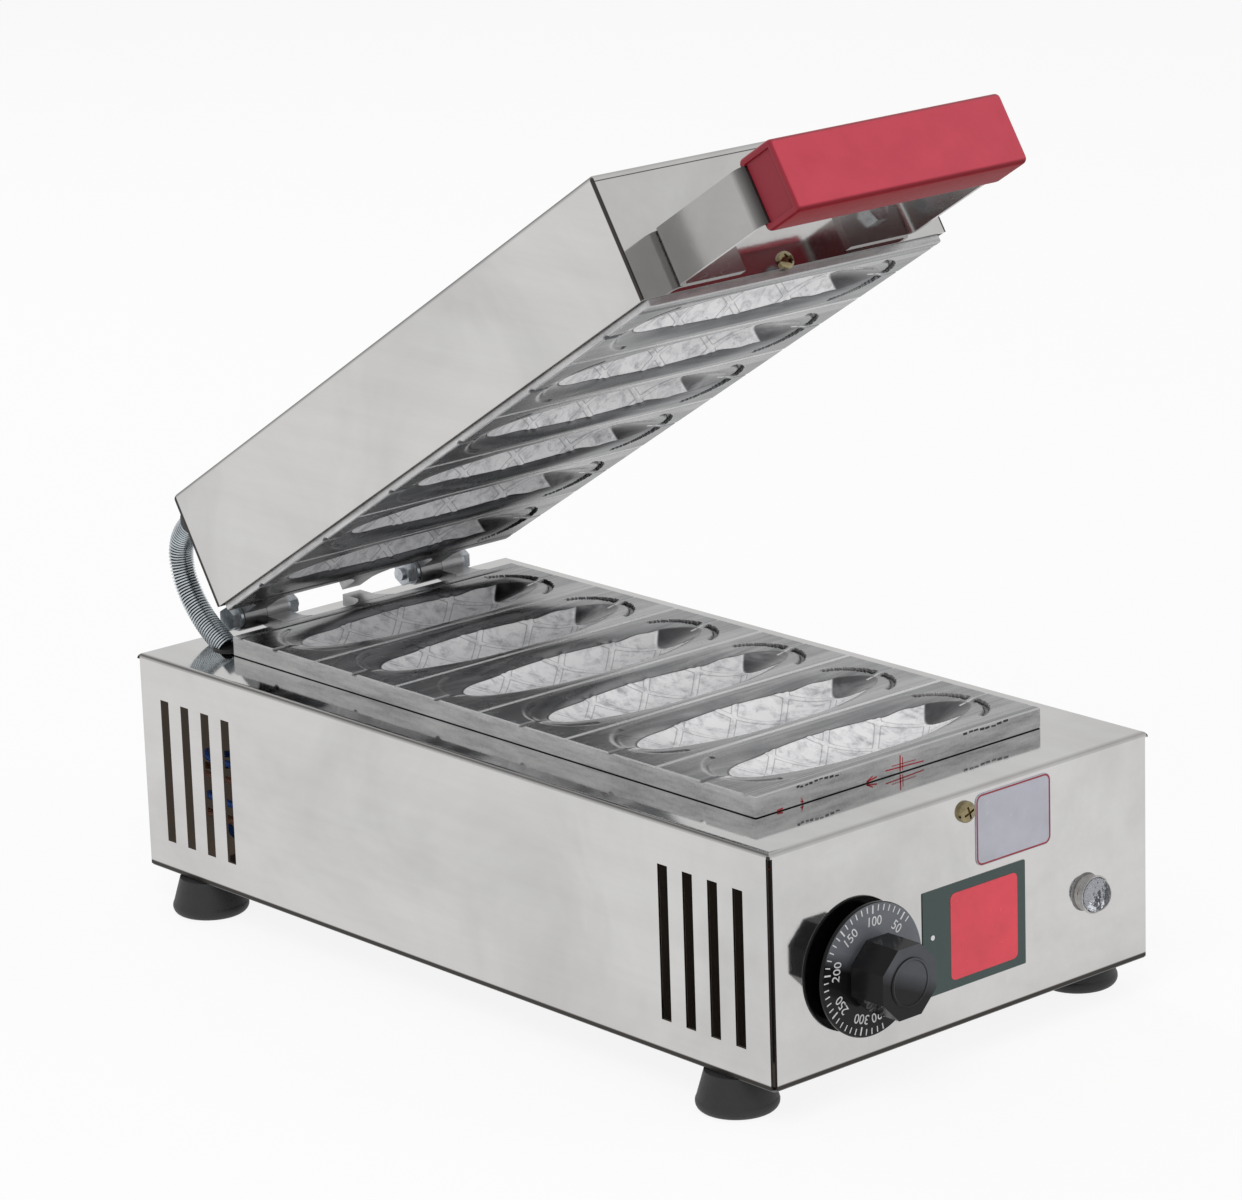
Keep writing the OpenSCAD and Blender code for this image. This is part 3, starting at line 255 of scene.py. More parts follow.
def red_sleeve(m, colour, start):
    """Red on the back of the bracket's cross bar, with a painted shadow beside the grip."""
    ahead = m.times(m.split(m.own(LID.inverted()))[1], -1.0)
    back = m.rise(m.split(m.normal(TILT))[1], 0.7, 0.95)
    sleeve = m.times(m.rise(ahead, start, start + 0.0003), back)
    m.set("Metallic", m.math("SUBTRACT", 1.0, sleeve))
    # Painted shadow of the grip on the bar
    colour = m.mix(m.rise(ahead, start - 0.004, start + 0.002), colour, GRIP_SHADOW)
    return m.mix(sleeve, colour, SLEEVE_RED)


def steel(name, grain=(1.0, 0.06, 1.0), colour=(0.615, 0.61, 0.605), low=0.035, high=0.075,
          turn=0.0, bend_shade=0.8, box=None, hem=None, red_from=None):
    """Bright rolled sheet: long grain, clouds of dull film, fine scratches, painted dark reflections on the
    bends.

    turn brings the sheet's walls square with the axes; normals between them are bends.
    box is the sheet's own frame with its half sizes: with it, shade is painted on the edges
    and the inside, with a painted glow inside; hem is the height of a painted shade line
    there. red_from is where a red sleeve begins, ahead of the part's origin with the lid
    shut, with a painted shadow on the bar beside the grip.
    """
    m = Mat(name, Metallic=1.0)
    clouds = m.noise(9, 4, 0.6, distort=0.6)
    streaks = m.noise(60, 4, 0.7, stretch=grain)
    fine = m.noise(900, 2, 0.6, stretch=grain)
    tint = m.ramp(clouds, (0.32, shade(colour, 0.88)), (0.52, colour), (0.75, shade(colour, 1.07)))
    dull = m.ramp(streaks, (0.35, (0.945, 0.935, 0.925)), (0.65, 1.0))
    normal = m.normal(turn)
    nx, ny, nz = (m.absolute(n) for n in m.split(normal))
    # Painted dark reflection on the bends, where the normal lies between the walls' directions
    bend_and_edge_shade = m.times(m.ramp(m.largest(nx, ny, nz), (0.76, 1.0), (0.985, 0.0)), bend_shade)
    bend_and_edge_shade = m.times(bend_and_edge_shade, m.ramp(nx, (0.1, 0.35), (0.4, 1.0)))
    if box:
        spot = m.own(box[0])
        # Painted shade lines along the sheet's edges, bottom and hem
        bend_and_edge_shade = m.largest(bend_and_edge_shade, sheet_lines(m, spot, box[1], hem, nx, ny))
    colour = m.mix(bend_and_edge_shade, m.mix(0.75, tint, dull, "MULTIPLY"), BEND_AND_EDGE_SHADE)
    if box:
        # Painted shade and a painted glow on the inside of the sheet
        outward = m.node("ShaderNodeVectorMath", {0: spot, 1: normal}, operation="DOT_PRODUCT")
        inside = m.rise(outward.outputs["Value"], -0.004, -0.012)
        colour = m.mix(inside, colour, INSIDE_SHADE)
        m.set("Emission_Color", INSIDE_PAINTED_GLOW)
        m.set("Emission_Strength", inside)
    if red_from is not None:
        colour = red_sleeve(m, colour, red_from)
    m.set("Base_Color", colour)
    askew = m.noise(230, 1, 0.4, stretch=tuple(0.25 + g for g in grain), turn=(0.3, 0.2, 0.25))
    scratch = m.ramp(askew, (0.485, 0.0), (0.5, 1.0), (0.515, 0.0))
    level = m.math("MULTIPLY_ADD", clouds, high - low, low)
    for layer, weight in ((fine, 0.03), (scratch, 0.05), (bend_and_edge_shade, 0.35)):
        level = m.math("MULTIPLY_ADD", layer, weight, level)
    m.set("Roughness", level)
    m.bump((m.noise(7, 1, 0.4), 0.0009), (streaks, 0.000010), (fine, 0.000002))
    return m


def zinc(name, colour=(0.50, 0.53, 0.56), rough=0.3, scale=400, depth=0.00003):
    m = Mat(name, Metallic=1.0)
    spots = m.noise(scale, 4, 0.65)
    m.set("Base_Color", m.ramp(spots, (0.3, shade(colour, 0.72)), (0.6, colour),
                               (0.8, shade(colour, 1.2))))
    m.set("Roughness", m.math("MULTIPLY_ADD", spots, 0.25, rough - 0.12))
    m.bump((m.noise(scale * 2, 2), depth))
    return m


def plastic(name, colour, rough=0.35, grain=0.00002, scale=1800):
    m = Mat(name)
    m.set("Base_Color", m.ramp(m.noise(70, 3), (0.3, shade(colour, 0.86)), (0.7, colour)))
    m.rough(rough, 0.12)
    m.bump((m.noise(scale, 2), grain))
    return m


def printed(name, colour, rough=0.35):
    return plastic(name, colour, rough, grain=0.00001)


def phenolic(name, rough, front):
    """Glossy black moulding; a painted reflection makes the face that looks forward greyer above a slanting
    line.
    """
    m = Mat(name, Specular_IOR_Level=0.16)
    x, _, z = m.split(m.place(move=(-DIAL_X * MM, 0, -(DIAL_Z + SHIFT.z) * MM)))
    slant = m.math("MULTIPLY_ADD", x, 0.45, z)
    painted_reflection = m.times(m.rise(m.split(m.normal())[1], -0.75, -0.97), m.rise(slant, -0.004, 0.004))
    painted_reflection = m.times(painted_reflection, m.ramp(m.noise(60, 3), (0.3, 0.8), (0.7, 1.0)))
    # front is the grey level of the painted reflection
    reflection_grey = (front * 0.92, front * 0.97, front * 1.08)
    m.set("Base_Color", m.mix(painted_reflection, (0.011, 0.011, 0.012), reflection_grey))
    m.rough(rough, 0.08)
    m.bump((m.noise(1800, 2), 0.000005))
    return m


def grip_red():
    """Moulded red plastic, with painted shade on the sunk ends, on the edges and underneath."""
    m = Mat("red_grip")
    tint = m.ramp(m.noise(70, 3), (0.3, (0.50, 0.050, 0.078)), (0.7, (0.55, 0.058, 0.090)))
    normal = m.split(m.normal(TILT))
    # Painted shade underneath, on the sunk ends and on the edges; the reflection underneath is weakened too
    under = m.rise(normal[2], -0.3, -0.9)
    nx, ny, nz = (m.absolute(n) for n in normal)
    end_shade = m.rise(nx, 0.75, 0.97)
    edges = m.rise(m.largest(nx, ny, nz), 0.97, 0.8)
    tint = m.mix(m.times(end_shade, 0.75), tint, (0.16, 0.008, 0.016))
    tint = m.mix(under, tint, (0.27, 0.012, 0.02))
    m.set("Base_Color", m.mix(m.times(edges, 0.7), tint, (0.14, 0.006, 0.012)))
    m.set("Specular_IOR_Level", m.math("MULTIPLY_ADD", under, -0.26, 0.28))
    m.rough(0.38, 0.12)
    m.bump((m.noise(900, 2), 0.00003))
    return m


def clear_lens():
    """Smoky clear plastic, uneven enough to break up what is seen through it."""
    m = Mat("clear_lens", Base_Color=(0.34, 0.35, 0.38), Transmission_Weight=0.94, IOR=1.46)
    m.rough(0.07, 0.06, 500)
    m.bump((m.noise(210, 2), 0.0013))
    return m


# What the mesh of a plate tells its material at every vertex: distances into a mould,
# past its lip and to a rib, in millimetres, and masks for bright lines, sawn edges and painted shade
PLATE_MASKS = ("inside", "past_lip", "rib_away", "cut_line", "edge", "painted_shade")


def casting(name, matrix, face_tone=None):
    """Cast plate: ground face with long marks, rough bright moulds, sawn edges, a painted dark
    reflection on each mould's smooth end and painted shade beside ribs, at mouths and in grooves.

    matrix brings object coordinates to the plate's own, with its face on z = 0.
    """
    m = Mat(name, Metallic=1.0)
    spot = m.own(matrix)

    def noise(*values, **more):
        return m.noise(*values, spot=spot, **more)

    inside, past, away, line, edge, painted_shade = (
        m.node("ShaderNodeAttribute", attribute_name=mask).outputs["Fac"] for mask in PLATE_MASKS)
    deep = m.rise(inside, 0.0, 0.3)
    end = m.times(deep, m.rise(past, 0.0, 1.4))
    rough = m.math("SUBTRACT", deep, end)
    # Painted shade beside the ribs and round each mould's mouth, added to the painted shade from the mesh
    rib_shade = m.times(m.band(away, 0.9, 1.6, 0.35), m.times(rough, m.rise(past, -1.2, -2.4)))
    mouth_shade = m.band(inside, -0.2, 0.3, 0.15)
    painted_shade = m.largest(painted_shade, m.times(rib_shade, 0.5), m.times(mouth_shade, 0.6))
    clouds = noise(26, 4, 0.62, distort=0.8)
    marks = noise(60, 5, 0.72, stretch=(0.12, 3.6, 1))
    grain = noise(900, 3, 0.7)
    blots = noise(150, 5, 0.7, distort=0.4)
    film = noise(38, 4, 0.6, distort=1.2)
    streak = noise(90, 4, 0.7, stretch=(0.3, 0.3, 2.2))
    face = m.ramp(m.math("MULTIPLY_ADD", marks, 0.55, m.times(clouds, 0.45)),
                  (0.36, (0.17, 0.173, 0.178)), (0.5, (0.27, 0.272, 0.278)),
                  (0.64, (0.44, 0.44, 0.445)))
    if face_tone:
        face = m.mix(1.0, face, face_tone, "MULTIPLY")
    mould = m.ramp(blots, (0.28, (0.46, 0.46, 0.48)), (0.42, (0.78, 0.78, 0.80)),
                   (0.54, (0.97, 0.97, 0.98)))
    mould = m.mix(m.ramp(film, (0.52, 0.0), (0.8, 0.30)), mould, (0.50, 0.50, 0.52))
    # Painted dark reflection on each mould's smooth end
    end_reflection = m.ramp(clouds, (0.34, (0.03, 0.03, 0.033)), (0.52, (0.08, 0.08, 0.085)),
                 (0.72, (0.30, 0.30, 0.31)))
    sawn = m.ramp(m.math("MULTIPLY_ADD", grain, 0.2, m.times(streak, 0.8)),
                  (0.34, (0.36, 0.36, 0.365)), (0.5, (0.54, 0.54, 0.545)), (0.64, 0.66))
    colour = face
    for mask, layer in ((rough, mould), (end, end_reflection), (edge, sawn), (line, 0.66),
                        (painted_shade, (0.05, 0.05, 0.053))):
        colour = m.mix(mask, colour, layer)
    m.set("Base_Color", colour)
    m.set("Metallic", m.math("MULTIPLY_ADD", m.largest(rough, line), -0.55, 1.0))
    level = m.ramp(clouds, (0.3, 0.2), (0.7, 0.34))
    for mask, layer in ((rough, 0.6), (end, 0.17), (edge, 0.38)):
        level = m.mix(mask, level, layer)
    m.set("Roughness", level)
    pits = m.times(blots, m.math("ADD", rough, m.times(edge, 0.12)))
    m.bump((pits, 0.0006), (marks, 0.00005), (grain, 0.00002))
    return m


def sheet_box(w, d, h, middle, lid=False):
    """Frame and half sizes of a folded sheet whose middle stands at a height."""
    return to_local(middle, lid), (w / 2 * MM, d / 2 * MM, h / 2 * MM)


MATERIALS = {
    "housing": steel("steel_housing", box=sheet_box(BODY_W, BODY_D, BODY_H, BODY_H / 2)),
    "cover": steel("steel_cover", turn=TILT, hem=(LID_H / 2 - 3.4) * MM,
                   box=sheet_box(LID_W, LID_D, LID_H + 4, COVER_Z + LID_H / 2, True)),
    "bar": steel("steel_bar", (0.08, 0.3, 1.0), (0.43, 0.425, 0.42), low=0.14, high=0.27,
                 bend_shade=0.0, red_from=(LID_D / 2 + BAR_OUT - 2.7 - SHIFT.y) * MM),
    "shield": steel("thin_sheet", colour=(0.6, 0.6, 0.59), low=0.2, high=0.4, bend_shade=0.0),
    "lower_plate": casting("cast_lower_plate", to_local(FACE_Z)),
    "upper_plate": casting("cast_upper_plate", to_local(LID_FACE_Z, True), (0.55, 0.56, 0.57)),
    "floor_panel": zinc("galvanised_sheet", (0.2, 0.2, 0.2), 0.42, 60),
    "zinc": zinc("zinc_fastener"),
    "bright_zinc": zinc("bright_zinc_bolt", (0.66, 0.68, 0.70), 0.16),
    "yellow_zinc": zinc("yellow_zinc_fastener", (0.30, 0.25, 0.145), 0.17),
    "nickel": zinc("nickel_bezel", (0.50, 0.49, 0.48), 0.1),
    "lamp_core": zinc("lamp_reflector", (0.20, 0.20, 0.21), 0.3, 900),
    "spring": zinc("spring_wire", (0.62, 0.67, 0.70), 0.24, 90, 0.000004),
    "rod": zinc("rod_sheath", (0.16, 0.155, 0.15), 0.5, 300),
    "clamp": zinc("clamp_bar", (0.36, 0.36, 0.37), 0.45, 200),
    "copper": zinc("copper_bulb", (0.72, 0.36, 0.2), 0.3, 300),
    "rubber": plastic("black_rubber", (0.022, 0.022, 0.023), 0.55, 0.00006, 900),
    "nylon": plastic("black_nylon", (0.02, 0.02, 0.021), 0.42),
    "thermostat": plastic("thermostat_case", (0.42, 0.34, 0.24), 0.5),
    "ceramic": plastic("terminal_ceramic", (0.72, 0.69, 0.62), 0.45),
    "wire_blue": plastic("wire_sleeve_blue", (0.02, 0.10, 0.42), 0.4),
    "wire_brown": plastic("wire_sleeve_brown", (0.16, 0.06, 0.03), 0.4),
    "sleeve": plastic("lead_sleeve", (0.012, 0.014, 0.016), 0.6),
    "black": phenolic("black_phenolic", 0.16, 0.095),
    "disc": phenolic("black_disc", 0.14, 0.19),
    "red": grip_red(),
    "lens": clear_lens(),
    "green_panel": printed("label_green", (0.028, 0.058, 0.052)),
    "red_panel": printed("label_red", (0.80, 0.05, 0.08), 0.25),
    "lilac_panel": printed("label_lilac", (0.50, 0.50, 0.57), 0.25),
    "border": printed("label_border", (0.30, 0.02, 0.03)),
    "white": printed("white_print", (0.82, 0.82, 0.82), 0.45),
    "pen": printed("pen_mark", (0.42, 0.025, 0.035), 0.55),
    "soot": printed("dark_mark", (0.035, 0.033, 0.038), 0.6),
}

# Materials with the nodes that wear them; all other solids are zinc-plated
WORN_BY = {
    "housing": "base_housing", "cover": "lid_cover", "bar": "handle_bracket", "red": "handle_grip",
    "floor_panel": "floor_panel", "lower_plate": "lower_plate", "upper_plate": "upper_plate",
    "bright_zinc": "bracket_bolts", "yellow_zinc": "front_screw lid_screw",
    "rod": "lower_heating_rods upper_heating_rods", "clamp": "lower_clamp_bars upper_clamp_bars",
    "shield": "lower_heat_shield upper_heat_shield", "rubber": "feet",
    "nylon": "pilot_lamp_body cord_gland cord_gland_nut conduit_elbow lid_bushing",
    "nickel": "pilot_lamp_bezel", "lens": "pilot_lamp_lens", "disc": "dial_disc", "black": "knob",
    "thermostat": "thermostat_body", "copper": "thermostat_bulb", "ceramic": "terminal_block",
    "green_panel": "control_label", "lilac_panel": "info_label", "wire_blue": "wire_blue",
    "wire_brown": "wire_brown", "spring": "spring_conduit", "sleeve": "lid_lead",
}
MATERIAL_OF = {node: key for key, names in WORN_BY.items() for node in names.split()}

for name, obj in nodes.items():
    obj.data.materials.clear()
    obj.data.materials.append(MATERIALS[MATERIAL_OF.get(name, "zinc")].mat)


# Pieces; drawings are in millimetres, meshes in metres

def to_mesh(name, bm):
    """Mesh with what a bmesh holds; the bmesh is freed."""
    mesh = bpy.data.meshes.new(name)
    bm.to_mesh(mesh)
    bm.free()
    return mesh


def add_object(name, data):
    obj = bpy.data.objects.new(name, data)
    scene.collection.objects.link(obj)
    return obj


def evaluated_mesh(obj):
    bpy.context.view_layer.update()
    depsgraph = bpy.context.evaluated_depsgraph_get()
    return bpy.data.meshes.new_from_object(obj.evaluated_get(depsgraph))


def piece(name, bm, material, body, matrix=None, smooth=35):
    """Object from a bmesh, shaded smooth below an angle, that rides on a body."""
    if matrix is not None:
        moved(bm, matrix)
    bmesh.ops.recalc_face_normals(bm, faces=bm.faces)
    for face in bm.faces:
        face.smooth = True
    limit = math.radians(smooth)
    for edge in bm.edges:
        edge.smooth = len(edge.link_faces) == 2 and edge.calc_face_angle(0) < limit
    obj = add_object(name, to_mesh(name, bm))
    obj.data.materials.append(MATERIALS[material].mat)
    if body:
        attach(obj, body)
    return obj


def cut_away(obj, bm):
    """Takes a bmesh out of an object for good."""
    cutter = add_object("cutter", to_mesh("cutter", bm))
    cut = obj.modifiers.new("cut", "BOOLEAN")
    cut.operation, cut.solver, cut.object = "DIFFERENCE", "EXACT", cutter
    result = evaluated_mesh(obj)
    obj.modifiers.clear()
    done_with = obj.data, cutter.data
    obj.data = result
    bpy.data.objects.remove(cutter)
    for mesh in done_with:
        bpy.data.meshes.remove(mesh)


def join(*parts):
    bm = bmesh.new()
    for part in parts:
        mesh = to_mesh("part", part)
        bm.from_mesh(mesh)
        bpy.data.meshes.remove(mesh)
    return bm


def moved(bm, *matrices):
    for matrix in matrices:
        bmesh.ops.transform(bm, matrix=matrix, verts=bm.verts)
    return bm


def polar(r, degrees):
    a = math.radians(degrees)
    return r * math.cos(a), r * math.sin(a)


def box_outline(x0, x1, y0, y1):
    return [(x0, y0), (x1, y0), (x1, y1), (x0, y1)]


def rounded(w, h, r, steps=6, middle=(0, 0)):
    """Outline of a rectangle with round corners."""
    points = []
    for k, (sx, sy) in enumerate(((1, 1), (-1, 1), (-1, -1), (1, -1))):
        for j in range(steps + 1):
            x, y = polar(r, 90 * (k + j / steps))
            points.append((middle[0] + sx * (w / 2 - r) + x, middle[1] + sy * (h / 2 - r) + y))
    return points


def skin(bm, rings):
    """Faces between closed rings of vertices that follow each other."""
    for a, b in zip(rings, rings[1:]):
        for k in range(len(a)):
            n = (k + 1) % len(a)
            bm.faces.new((a[k], a[n], b[n], b[k]))


def prism(outline, low, high, bevel=0.0, segments=2):
    """Closed solid from an outline in x, y between two z levels."""
    bm = bmesh.new()
    bottom, top = ([bm.verts.new((x * MM, y * MM, z * MM)) for x, y in outline]
                   for z in (low, high))
    bm.faces.new(bottom[::-1])
    bm.faces.new(top)
    skin(bm, [bottom, top])
    if bevel:
        sharp = [e for e in bm.edges if e.calc_face_angle(0) > math.radians(25)]
        bmesh.ops.bevel(bm, geom=sharp, offset=bevel * MM, segments=segments, affect="EDGES",
                        profile=0.5)
    return bm


def turned(profile, steps=48):
    """Solid of revolution about z from (radius, z) pairs."""
    bm = bmesh.new()
    rings = []
    for r, z in profile:
        spots = [polar(r, 360 * k / steps) for k in range(steps if r > 1e-6 else 1)]
        rings.append([bm.verts.new((x * MM, y * MM, z * MM)) for x, y in spots])
    for a, b in zip(rings, rings[1:]):
        for k in range(steps):
            corners = (a[k % len(a)], a[(k + 1) % len(a)], b[(k + 1) % len(b)], b[k % len(b)])
            corners = list(dict.fromkeys(corners))
            if len(corners) > 2:
                bm.faces.new(corners)
    for ring in (rings[0], rings[-1]):
        if len(ring) > 1:
            bm.faces.new(ring)
    return bm


# Plates: face, moulds and edges as one fine surface; arms and back from the solid

MOULD_PITCH = 56.2
MOULD_YS = [(k - 2.5) * MOULD_PITCH for k in range(6)]
LAND_YS = [(k - 3) * MOULD_PITCH for k in range(1, 6)]
# A mould is a spindle about an axis MOULD_AXIS over the face; its radius is MOULD_R in the
# middle and shrinks along an arc of ARC_R
MOULD_R, MOULD_AXIS, ARC_R, MOULD_HALF = 27.05, 17.05, 236.2, 68
RIB_TAN, RIB_STEP, RIB_H, RIB_HALF = 0.9, 15.4, 0.3, 1.2
RIBS_END, RIB_REACH = 46, 24
# Half the width of the strip that a mould lies in, and how far round its lip is
MOULD_SIDE, LIP = 28, 3.0
# Oval round a mould's mouth, where the lip dies out
OVAL_X, OVAL_R = 50, 24.4
# Broken arcs round the ends of a mould
RING_X, RING_R, RING_HALF = 52, 21.3, 1.25
STICK_R, VENT_HALF = 2.0, 0.55
CORNER_R = 1.2
# Chamfer round the face, and the one at the seam between the plate and its back
RIM_W, RIM_DEPTH = 0.45, 0.4
SEAM = 0.4
# Slack for what lies on a plane of the solid
NEAR = 0.02
# Mask values far from any mould
NOT_INSIDE, NOT_PAST, NO_RIB = -3.0, -9.0, 9.0


def step(a, b, v):
    t = np.clip((v - a) / (b - a), 0, 1)
    return t * t * (3 - 2 * t)


def ridge(distance, half):
    """1 on a line, falling straight to 0 at half its width."""
    return np.clip(1 - np.abs(distance) / half, 0, 1)


def root(v):
    return np.sqrt(np.maximum(v, 0))


def plate_depths(x, y):
    """Depth under the face and the values of PLATE_MASKS at points of a plate."""
    depth, line, edge, painted_shade = (np.zeros_like(x) for k in range(4))
    inward, past_lip = np.full_like(x, NOT_INSIDE), np.full_like(x, NOT_PAST)
    rib_away = np.full_like(x, NO_RIB)
    for c in MOULD_YS:
        v = y - c
        near = np.abs(v) < MOULD_SIDE
        rho = MOULD_R - ARC_R + root(ARC_R ** 2 - x ** 2)
        # The ribs end at a lip that follows the last pair of them
        past = x - (np.sqrt(v ** 2 + 9) - 3) / RIB_TAN - RIBS_END
        rib = np.zeros_like(x)
        apart = np.full_like(x, NO_RIB)
        for k in (-3, -1, 1, 3):
            for sign in (-1, 1):
                away = (x - k * RIB_STEP - sign * v / RIB_TAN) * math.sin(math.atan(RIB_TAN))
                rib = np.maximum(rib, np.clip(1 - (np.abs(away) / RIB_HALF) ** 2, 0, 1))
                apart = np.minimum(apart, np.abs(away))
        rib = rib * (1 - step(-1, 1, past))
        lip = np.clip(1 - (np.abs(past + RIB_HALF) / RIB_HALF) ** 2, 0, 1)
        rib = rib + lip * (np.abs(v) < RIB_REACH)
        cross = root(rho ** 2 - v ** 2) - MOULD_AXIS
        rho_rib = rho - RIB_H * np.clip(rib, 0, 1)
        ribbed = root(rho_rib ** 2 - v ** 2) - MOULD_AXIS
        # Rounded lip that dies out at an oval round the mouth
        oval = np.sqrt(np.maximum(np.abs(x) - OVAL_X, 0) ** 2 + v ** 2)
        window = 1 - step(20.5, 25.5, oval)
        soft = (cross + np.sqrt(cross ** 2 + LIP ** 2)) / 2
        inside = near & (cross > 0)
        hollow = np.where(inside, soft - (cross - ribbed) * step(1.0, 2.4, cross), soft * window)
        depth = np.maximum(depth, np.where(near, hollow, 0))
        # The bright rough part begins deeper on the far side than on the near one
        start = (0.4 + 1.8 * step(-64, -34, x) * (1 - step(34, 48, x)) * step(-6, 6, v)
                 - 1.0 * step(50, 60, x))
        inward = np.where(near, np.maximum(cross - start, NOT_INSIDE), inward)
        past_lip = np.where(near, past, past_lip)
        rib_away = np.where(near, apart, rib_away)
        # The lip on the near side is paler, and a light rim shows where it begins
        pale = step(-25, 15, x) * step(-28, -25, v) * (1 - step(-19, -16, v)) * (cross < start)
        line = np.maximum(line, 0.3 * near * pale)
        line = np.maximum(line, 0.35 * near * ridge(oval - OVAL_R, 0.7))
        # Broken arc at each end, the vent and the stick's channel
        ring = np.sqrt((np.abs(x) - RING_X) ** 2 + v ** 2) - RING_R
        right = (np.abs(ring) < RING_HALF) & (x > 58) & (np.abs(v) > 1.7) & near
        depth = np.where(right, np.maximum(depth, 1.3), depth)
        # Painted shade in the groove of the arc
        painted_shade = np.maximum(painted_shade, 0.85 * right)
        left = ridge(ring, 2.2) * (x < -58) * near
        depth = np.maximum(depth, 0.6 * left)
        vent = (x > 66) & (np.abs(v) < VENT_HALF)
        depth = np.where(vent, np.maximum(depth, 0.6), depth)
        line = np.where(vent, 0.8, line)
        stick = (x < 2.4 - MOULD_HALF) & (np.abs(v) < STICK_R)
        channel = 0.75 * root(STICK_R ** 2 - v ** 2)
        depth = np.where(stick, np.maximum(depth, channel), depth)
        # Painted shade on one side of the stick's channel
        painted_shade = np.where(stick, 0.6 * (v > 1.3), painted_shade)
        line = np.where(stick, 1.0 * (v < 1.1), line)
    for c in LAND_YS:
        groove = np.clip(1.2 - np.abs(y - c) / 0.75, 0, 1)
        depth = np.maximum(depth, 0.3 * groove)
        line = np.maximum(line, (groove > 0.02) * 1.0)
    for side in (-1, 1):
        for from_edge in (5, 6.8):
            groove = ridge(y - side * (PLATE_D / 2 - from_edge), 0.6)
            depth = np.maximum(depth, 0.5 * groove)
            line = np.maximum(line, (groove > 0.05) * 0.6)
    rim = np.minimum(PLATE_W / 2 - np.abs(x), PLATE_D / 2 - np.abs(y))
    depth = np.maximum(depth, RIM_DEPTH * (1 - np.clip(rim / RIM_W, 0, 1)))
    line = np.maximum(line, 0.6 * (rim < 0.5))
    return depth, (inward, past_lip, rib_away, line, edge, painted_shade)


def spaced(stops):
    """Positions that run through (from, to, spacing) stretches without repeats."""
    out = []
    for a, b, gap in stops:
        n = max(1, round((b - a) / gap))
        out += [a + (b - a) * k / n for k in range(n)]
    out.append(stops[-1][1])
    return np.array(out)


def plate_grid():
    """Grid over a plate, with its lines closest where shapes are fine."""
    half_w, half_d = PLATE_W / 2, PLATE_D / 2
    xs = spaced([(-half_w, RIM_W - half_w, RIM_W), (RIM_W - half_w, -50, 0.7), (-50, 50, 1.0),
                 (50, half_w - RIM_W, 0.7), (half_w - RIM_W, half_w, RIM_W)])
    here = RIM_W - half_d
    stops = [(-half_d, here, RIM_W)]
    for c in sorted(MOULD_YS + LAND_YS):
        fine = 2.4 if c in MOULD_YS else 0.8
        stops += [(here, c - fine, 0.8), (c - fine, c + fine, 0.4)]
        here = c + fine
    stops += [(here, half_d - RIM_W, 0.8), (half_d - RIM_W, half_d, RIM_W)]
    return np.meshgrid(xs, spaced(stops))


def round_corners(gx, gy):
    """Turns the squares of a grid round the four upright corners into rings of arcs."""
    cx, cy = PLATE_W / 2 - CORNER_R, PLATE_D / 2 - CORNER_R
    ux, uy = np.abs(gx) - cx, np.abs(gy) - cy
    corner = (ux > 0) & (uy > 0)
    shrink = np.maximum(ux, uy) / np.maximum(np.hypot(ux, uy), 1e-9)
    return (np.where(corner, np.sign(gx) * (cx + ux * shrink), gx),
            np.where(corner, np.sign(gy) * (cy + uy * shrink), gy))


def plate_face(sign):
    """Face of a plate with its moulds; sign is 1 where it looks up, -1 where down."""
    gx, gy = plate_grid()
    depth, masks = plate_depths(gx, gy)
    px, py = round_corners(gx, gy)
    bm = bmesh.new()
    layers = [bm.verts.layers.float.new(mask) for mask in PLATE_MASKS]
    rows = []
    for r in range(gx.shape[0]):
        row = []
        for c in range(gx.shape[1]):
            v = bm.verts.new((px[r, c] * MM, py[r, c] * MM, -sign * depth[r, c] * MM))
            for layer, value in zip(layers, masks):
                v[layer] = float(value[r, c])
            row.append(v)
        rows.append(row)
    for a, b in zip(rows, rows[1:]):
        for k in range(len(a) - 1):
            bm.faces.new((a[k], a[k + 1], b[k + 1], b[k]))
    return bm, rows


def add_plate_walls(bm, rows, sign):
    """Upright edges round a face, down to a chamfer at the seam with painted shade."""
    loop = (rows[0][:-1] + [row[-1] for row in rows[:-1]]
            + rows[-1][:0:-1] + [row[0] for row in rows[:0:-1]])
    inside, edge, painted_shade = (bm.verts.layers.float[mask] for mask in ("inside", "edge", "painted_shade"))

    def add(co, shadow=0):
        v = bm.verts.new(co)
        v[inside], v[edge], v[painted_shade] = NOT_INSIDE, 1.0, shadow
        return v

    # A twin of the rim keeps the edge's own finish off the face
    upper = [add(v.co) for v in loop]
    for level, inset, shadow in ((3.0, 0, 0), (PLATE_H - 0.42, 0, 0), (PLATE_H - 0.38, 0.05, 1),
                                 (PLATE_H, SEAM, 1)):
        wide, long = 1 - 2 * inset / PLATE_W, 1 - 2 * inset / PLATE_D
        lower = [add((v.co.x * wide, v.co.y * long, -sign * level * MM), shadow) for v in loop]
        skin(bm, [upper, lower])
        upper = lower


